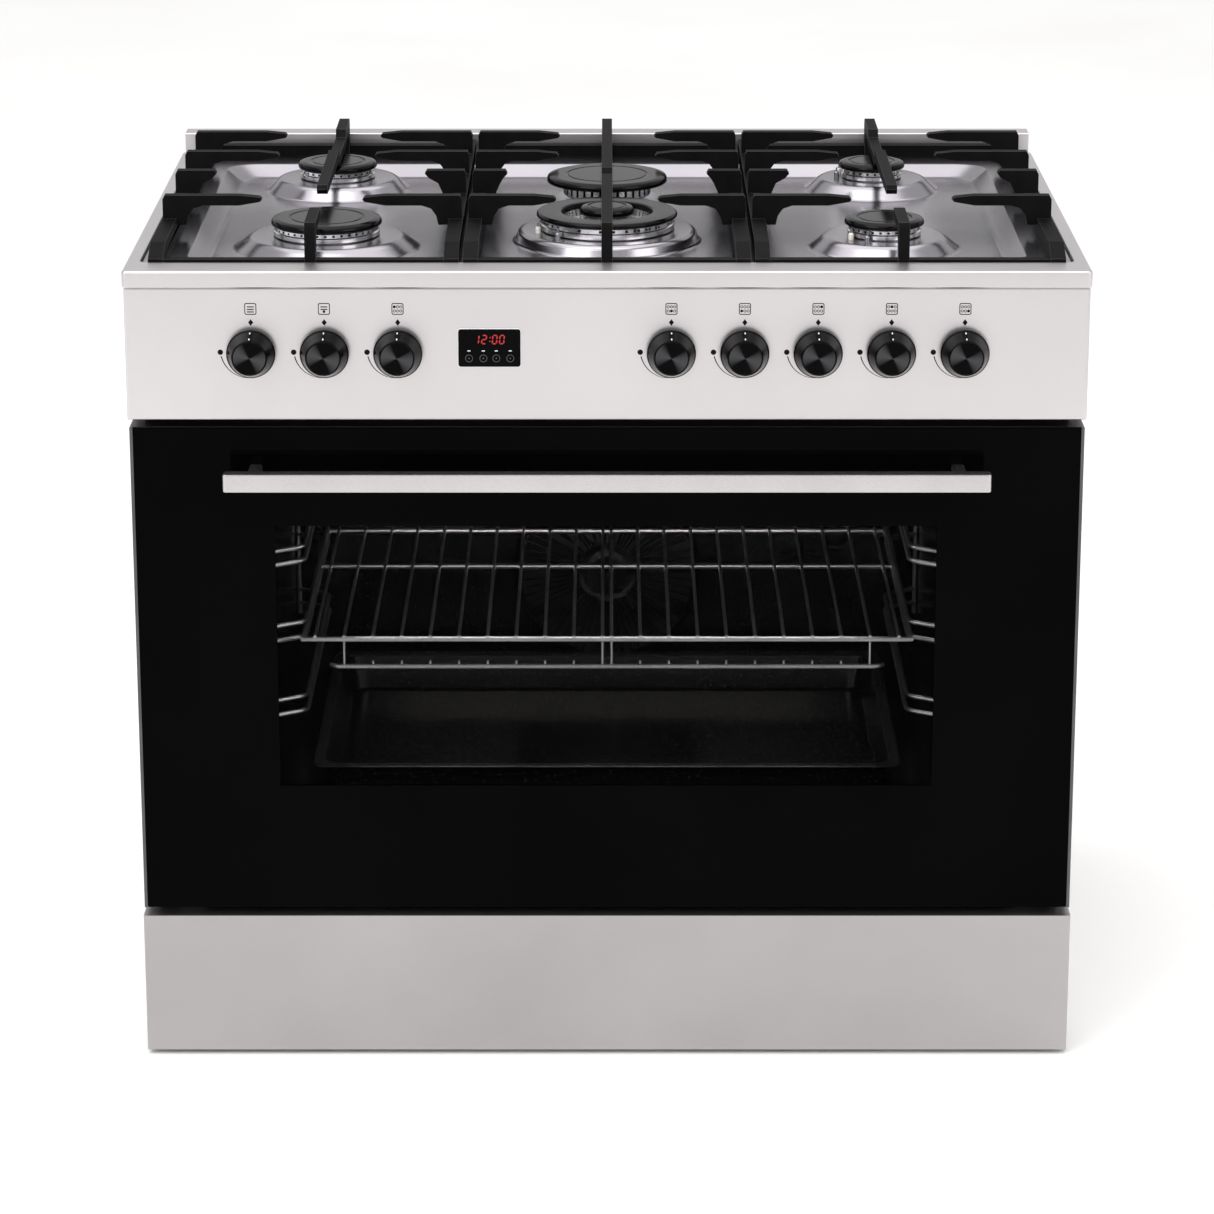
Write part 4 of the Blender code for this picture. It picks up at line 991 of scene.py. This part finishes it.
lit = []
for left, digit in ((-0.1240, "1"), (-0.1170, "2"), (-0.1071, "0"), (-0.1004, "0")):
    lit += [segment(left, name) for name in SHAPES[digit]]
lit += [ellipse(-0.1092, DIGIT_BASE + 0.0022, 0.0006, 10),
        ellipse(-0.1088, DIGIT_BASE + 0.0058, 0.0006, 10)]
keep("clock_digits", printed(lit, CLOCK_FRONT, 0.00008), [red_light], "root")
touch = []
for x in (-0.1288, -0.1154, -0.1033, -0.0903):
    touch.append([(x - 0.0014, 0.7106), (x + 0.0014, 0.7106), (x + 0.0014, 0.7098),
                  (x - 0.0014, 0.7098)])
keep("clock_dashes", printed(touch, CLOCK_FRONT, 0.00008), [white_ink], "root")
rings = []
for x in (-0.1288, -0.1154, -0.1033, -0.0903):
    rings += [ellipse(x, 0.7030, 0.0036), ellipse(x, 0.7030, 0.0031),
              ellipse(x, 0.7030, 0.0007, 10)]
keep("clock_touch_keys", printed(rings, CLOCK_FRONT, 0.00008), [grey_ink], "root")

# %% [markdown]
# ## Wires and pipes
# Racks, ladders, the seal and the grill element are all round stock bent on a former. A
# curve with a bevel makes each run. Its corners come from `rounded`, as a bend has a radius,
# and the curve is turned into a mesh so that all runs of a part are one piece.

# %% Bent round stock


def bent(points, radius, bend=0.0, closed=False, sides=3):
    """Round wire or pipe along places (x, depth, z), its corners bent to a radius."""
    line = [at(*point) for point in points]
    if bend:
        line = rounded(line, bend, 6)
    curve = bpy.data.curves.new("wire", "CURVE")
    curve.dimensions = "3D"
    curve.bevel_depth = radius
    curve.bevel_resolution = sides
    curve.use_fill_caps = True
    spline = curve.splines.new("POLY")
    spline.points.add(len(line) - 1)
    spline.use_cyclic_u = closed
    for point, place in zip(spline.points, line):
        point.co = (*place, 1.0)
    holder = bpy.data.objects.new("wire", curve)
    bpy.context.scene.collection.objects.link(holder)
    seen = holder.evaluated_get(bpy.context.evaluated_depsgraph_get())
    mesh = bpy.data.meshes.new_from_object(seen)
    bpy.data.objects.remove(holder, do_unlink=True)
    bm = bmesh.new()
    bm.from_mesh(mesh)
    bmesh.ops.remove_doubles(bm, verts=bm.verts, dist=0.000005)
    bmesh.ops.recalc_face_normals(bm, faces=bm.faces)
    return bm


# %% Shelf ladders
RUNNER_HEIGHTS = (0.491, 0.477, 0.415, 0.400, 0.339, 0.324)
RUNNER_X = 0.294
POST_WALL = 0.327
for side, node in ((-1, "shelf_ladder_left"), (1, "shelf_ladder_right")):
    wall = side * POST_WALL
    runs = [bent([(wall, d, 0.312), (wall, d, 0.503)], 0.0025) for d in (0.075, 0.450)]
    for z in RUNNER_HEIGHTS:
        runs.append(bent([(wall, 0.0755, z), (side * RUNNER_X, 0.095, z),
                          (side * RUNNER_X, 0.430, z), (wall, 0.4495, z)], 0.0024, 0.010))
    keep("wire_" + node, merged(runs), [chrome], "root", [node])

# %% [markdown]
# The rack has thick rails at its sides, three cross bars, and 22 thin wires laid over them from
# front to back. Below its front runs a guard bar that keeps dishes from tipping, with short
# stubs and four links up to the rack.

# %% The oven rack
RACK_FRONT = 0.062
RACK_MIDDLE = 0.305
RACK_BACK = 0.434
RACK_Z = 0.4075
GUARD_Z = 0.3798
GUARD_HALF = 0.262
RACK_PITCH = 0.0278
FIRST_WIRE = 0.0044
WIRES_PER_SIDE = 11
LINKS = (0, 9)
GUARD_STUB = 0.0055
runs = [bent([(side * RUNNER_X, RACK_FRONT + 0.001, RACK_Z),
              (side * RUNNER_X, RACK_BACK - 0.001, RACK_Z)], 0.003) for side in (-1, 1)]
for depth in (RACK_FRONT, RACK_MIDDLE, RACK_BACK):
    runs.append(bent([(-0.296, depth, RACK_Z), (0.296, depth, RACK_Z)], 0.0027))
runs.append(bent([(-GUARD_HALF - 0.006, RACK_FRONT + 0.004, GUARD_Z + 0.0005),
                  (-GUARD_HALF, RACK_FRONT, GUARD_Z), (GUARD_HALF, RACK_FRONT, GUARD_Z),
                  (GUARD_HALF + 0.006, RACK_FRONT + 0.004, GUARD_Z + 0.0005)], 0.0023, 0.004))
for index in range(WIRES_PER_SIDE):
    for side in (-1, 1):
        x = side * (FIRST_WIRE + index * RACK_PITCH)
        runs.append(bent([(x, RACK_FRONT - 0.0022, RACK_Z + 0.0027),
                          (x, RACK_BACK + 0.0022, RACK_Z + 0.0027)], 0.0017, sides=2))
        if abs(x) < GUARD_HALF:
            end = RACK_Z if index in LINKS else GUARD_Z + GUARD_STUB
            runs.append(bent([(x, RACK_FRONT + 0.0005, GUARD_Z),
                              (x, RACK_FRONT + 0.0005, end)], 0.0013, sides=1))
keep("wire_rack", merged(runs), [chrome], "oven_rack", ["oven_rack"])

# %% [markdown]
# The grill is two nested loops of steel-sheathed tube under the roof. The seal is a rubber cord
# round the mouth, a closed run with rounded corners.

# %% Grill element and door seal
grill_low, grill_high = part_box("grill_element")
GRILL_Z = 0.550
TUBE = 0.004
NESTING = 0.055
back = grill_high.y - FRONT_Y
runs = []
for inset, bend in ((0.0, 0.035), (NESTING, 0.030)):
    left = grill_low.x + TUBE + inset
    right = grill_high.x - TUBE - inset
    front = grill_low.y - FRONT_Y + TUBE + inset
    runs.append(bent([(left, back, GRILL_Z), (left, front, GRILL_Z), (right, front, GRILL_Z),
                      (right, back, GRILL_Z)], TUBE - 0.0002, bend))
element_metal = surface("grill_element_sheath", "4A4A48", "5C5B58", 12, 0.8, (0.45, 0.6), 0.02,
                        metallic=1.0)
keep("grill_heater", merged(runs), [element_metal], "root", ["grill_element"])
SEAL_X = 0.3405
SEAL_DEPTH = 0.0461
SEAL_LOW = 0.225
SEAL_HIGH = 0.585
BEND_STEPS = 6
loop = [(-SEAL_X, SEAL_DEPTH, SEAL_LOW), (SEAL_X, SEAL_DEPTH, SEAL_LOW),
        (SEAL_X, SEAL_DEPTH, SEAL_HIGH), (-SEAL_X, SEAL_DEPTH, SEAL_HIGH)]
soft_loop = rounded([Vector(p) for p in loop + loop[:3]], 0.020, BEND_STEPS)
# The first point and first bend repeat at the end, so one full round of four bends is taken.
bend = BEND_STEPS + 1
keep("door_seal", bent([tuple(p) for p in soft_loop[1 + bend:1 + 5 * bend]], 0.0034,
                       closed=True), [rubber], "root", ["door_gasket"])

# %% [markdown]
# ## Inside the oven
# The baking tray is pressed like the hob, from its underside up and over the rim to its
# floor, so that the sheet has a real thickness. The rim takes a paler enamel, a painted
# highlight that draws one bright line along the rolled edge.

# %% Baking tray
tray = pressed([
    ((-0.2690, 0.0895), (0.2690, 0.4155), 0.2353, 0.019),
    ((-0.2722, 0.0863), (0.2722, 0.4187), 0.2385, 0.019),
    ((-0.2785, 0.0800), (0.2785, 0.4250), 0.2724, 0.019),
    ((-0.2875, 0.0710), (0.2875, 0.4340), 0.2724, 0.0125),
    ((-0.2885, 0.0700), (0.2885, 0.4350), 0.2729, 0.0120),
    ((-0.2885, 0.0700), (0.2885, 0.4350), 0.2737, 0.0120),
    ((-0.2878, 0.0707), (0.2878, 0.4343), 0.2742, 0.0122),
    ((-0.2790, 0.0795), (0.2790, 0.4255), 0.2742, 0.0190),
    ((-0.2773, 0.0812), (0.2773, 0.4238), 0.2725, 0.0190),
    ((-0.2710, 0.0875), (0.2710, 0.4175), 0.2390, 0.0190),
    ((-0.2680, 0.0905), (0.2680, 0.4145), 0.2368, 0.0190),
])
# Faces above the rim's top take the paler enamel: a painted highlight.
for face in tray.faces:
    if face.calc_center_median().z > 0.2727:
        face.material_index = 1
keep("deep_tray", tray, [oven_enamel, enamel_rim_painted_highlight], "baking_tray",
     ["baking_tray"])

# %% [markdown]
# The fan's cover is a shallow turned drum. Every second face of its flat front is inset and
# pushed back by two millimetres, which gives a ring of narrow slots. Behind it the impeller
# keeps its CAD shape and only takes its finish.

# %% Fan cover
fan_low, fan_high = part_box("fan_cover")
FAN_Z = (fan_low.z + fan_high.z) / 2
fan_drum = spun(rounded([(0, 0), (0.100, 0), (0.100, 0.028), (0.094, 0.0345), (0.030, 0.0345),
                         (0.027, 0.0335), (0.022, 0.0335), (0.019, 0.0345), (0, 0.0345)],
                        0.002, 3), (0, 0, 0), 64)
face_band = [f for f in fan_drum.faces if f.normal.z > 0.9
             and 0.03 < (f.calc_center_median() - at(0, 0, 0)).xy.length < 0.094]
for face in face_band[::2]:
    face.material_index = 1
slots = [f for f in face_band[::2] if f.calc_area() > 0.00005]
bmesh.ops.inset_individual(fan_drum, faces=slots, thickness=0.0008)
sunk = bmesh.ops.extrude_discrete_faces(fan_drum, faces=slots)["faces"]
for face in sunk:
    bmesh.ops.translate(fan_drum, vec=face.normal * -0.002, verts=face.verts)
for face in fan_drum.faces:
    face.material_index = 0
# The sunk slot faces take the near-black finish: painted shade in the slots.
for face in sunk:
    face.material_index = 1
bmesh.ops.translate(fan_drum, vec=-at(0, 0, 0), verts=fan_drum.verts)
bmesh.ops.transform(fan_drum, matrix=Matrix.Translation(at(0, 0.4746, FAN_Z)) @ TO_FRONT,
                    verts=fan_drum.verts)
keep("fan_grille", fan_drum, [oven_enamel, hole_painted_shade], "root", ["fan_cover"])

# %% [markdown]
# ## The back
# The rear sheet is plain zinc-coated steel with vent slots, held by a border of domed
# screws. They are small, but they are what makes a back look like a back.

# %% Rear sheet and its screws
rear, _ = softened("back_panel", 0.0003)
keep("rear_sheet", rear, [galvanised], "root", ["back_panel"])
SCREW_TURN = Matrix.Rotation(math.radians(-90), 4, "X")
screws = []
places = [(x, z) for x in (-0.435, -0.145, 0.145, 0.435) for z in (0.022, 0.757)]
places += [(x, z) for x in (-0.435, 0.435) for z in (0.270, 0.510)]
for x, z in places:
    head = spun([(0, 0), (0.0040, 0), (0.0038, 0.0010), (0.0026, 0.0020), (0.0012, 0.0023),
                 (0.0010, 0.0012), (0, 0.0012)], (0, 0, 0), 16)
    bmesh.ops.translate(head, vec=-at(0, 0, 0), verts=head.verts)
    bmesh.ops.transform(head, matrix=Matrix.Translation(at(x, 0.5999, z)) @ SCREW_TURN,
                        verts=head.verts)
    screws.append(head)
keep("rear_screws", merged(screws), [screw_metal], "root")

# %% [markdown]
# ## Finishes for the CAD's own nodes
# What is left keeps its CAD mesh. The record says which material slot each node has, so a
# small table from slot to finish covers them all.

# %% Paint the nodes that stay
FINISH_OF = {"satin_steel": satin_steel, "hob_steel": hob_steel, "galvanised": galvanised,
             "dark_enamel": oven_enamel, "cast_iron": cast_iron, "cap_enamel": cap_enamel,
             "crown_aluminium": crown_metal, "knob_black": knob_plastic,
             "door_glass": black_glass, "oven_glass": clear_glass,
             "display_black": display_glass, "rack_chrome": chrome, "brass": brass,
             "rubber": rubber}
painted = 0
for row in frame["record"]["subparts"]:
    node = frame["nodes"][row["node"]]
    if not node.hide_render:
        node.data.materials.clear()
        node.data.materials.append(FINISH_OF[row["material_slot"]])
        painted += 1
print(painted, "CAD nodes painted")

# %% [markdown]
# ## Floor, light and camera
# The studio is as plain as it can be: a pale floor, an even bright sky, and large soft lamps.
# Metal shows only what it reflects, so the lamps are there to be seen in it. A weak lamp in
# the oven lets its chrome wires glint behind the glass. The camera has a long lens and looks
# down by about 16 degrees, with a small shift so that upright edges stay almost upright.

# %% Floor
floor_skin = surface("pale_studio_floor", "F4F3F2", "FAFAF9", 900, 6, (0.55, 0.65), 0.02)
ground = bmesh.new()
bmesh.ops.create_circle(ground, cap_ends=True, segments=96, radius=14.0)
floor_mesh = bpy.data.meshes.new("studio_floor")
ground.to_mesh(floor_mesh)
ground.free()
floor_mesh.materials.append(floor_skin)
floor = bpy.data.objects.new("studio_floor", floor_mesh)
bpy.context.scene.collection.objects.link(floor)
print("floor laid")

# %% [markdown]
# Three large soft lamps give the metal something to reflect. A very soft sun lights the whole
# floor evenly, as lamps alone would leave it darker far away. One thin strip inside the oven
# lights the wires.

# %% Lamps and sky


def lamp(name, place, aim, size, watts, colour="FFFFFF", height=None):
    """A soft lamp at one point, aimed at another; square unless a height is given."""
    data = bpy.data.lights.new(name, "AREA")
    data.shape = "RECTANGLE"
    data.size = size
    data.size_y = height or size
    data.energy = watts
    data.color = linear(colour)[:3]
    obj = bpy.data.objects.new(name, data)
    bpy.context.scene.collection.objects.link(obj)
    obj.location = place
    obj.rotation_euler = (Vector(aim) - Vector(place)).to_track_quat("-Z", "Y").to_euler()
    return obj


middle = Vector((0, 0, 0.45))
lamp("front_left_softbox", (-2.6, -3.2, 3.0), middle, 2.6, 60)
lamp("front_right_softbox", (3.0, -2.6, 2.2), middle, 2.2, 36)
lamp("overhead_softbox", (0.0, 0.4, 3.6), middle, 3.4, 46)
lamp("oven_strip", at(0, 0.075, 0.562), at(0, 0.26, 0.40), 0.50, 0.45, "FFF8F0", 0.012)
even = bpy.data.lights.new("even_daylight", "SUN")
even.energy = 1.35
even.angle = math.radians(70)
daylight = bpy.data.objects.new("even_daylight", even)
bpy.context.scene.collection.objects.link(daylight)
daylight.rotation_euler = Vector((0.25, 0.5, -1.0)).to_track_quat("-Z", "Y").to_euler()
sky = bpy.data.worlds.new("studio_sky")
sky.use_nodes = True
sky.node_tree.nodes["Background"].inputs["Color"].default_value = linear("FFFFFF")
sky.node_tree.nodes["Background"].inputs["Strength"].default_value = 0.68
bpy.context.scene.world = sky
bpy.context.scene.view_settings.view_transform = "Standard"
print("studio lit")

# %% [markdown]
# The camera looks at a point in the middle of the range from four metres away, through a long
# lens. The picture is shifted down a little, so the camera itself tilts less and upright edges
# stay nearly parallel.

# %% Camera
TILT = math.radians(15.7)
AWAY = 4.0
target = at(0, 0.15, 0.537)
eye = target + Vector((0, -math.cos(TILT), math.sin(TILT))) * AWAY
lens = bpy.data.cameras.new("studio_camera")
lens.lens = 121.0
lens.sensor_width = 36.0
lens.shift_y = -0.10
camera = bpy.data.objects.new("studio_camera", lens)
bpy.context.scene.collection.objects.link(camera)
camera.location = eye
camera.rotation_euler = (target - eye).to_track_quat("-Z", "Y").to_euler()
bpy.context.scene.camera = camera
print("camera", [round(v, 3) for v in eye])
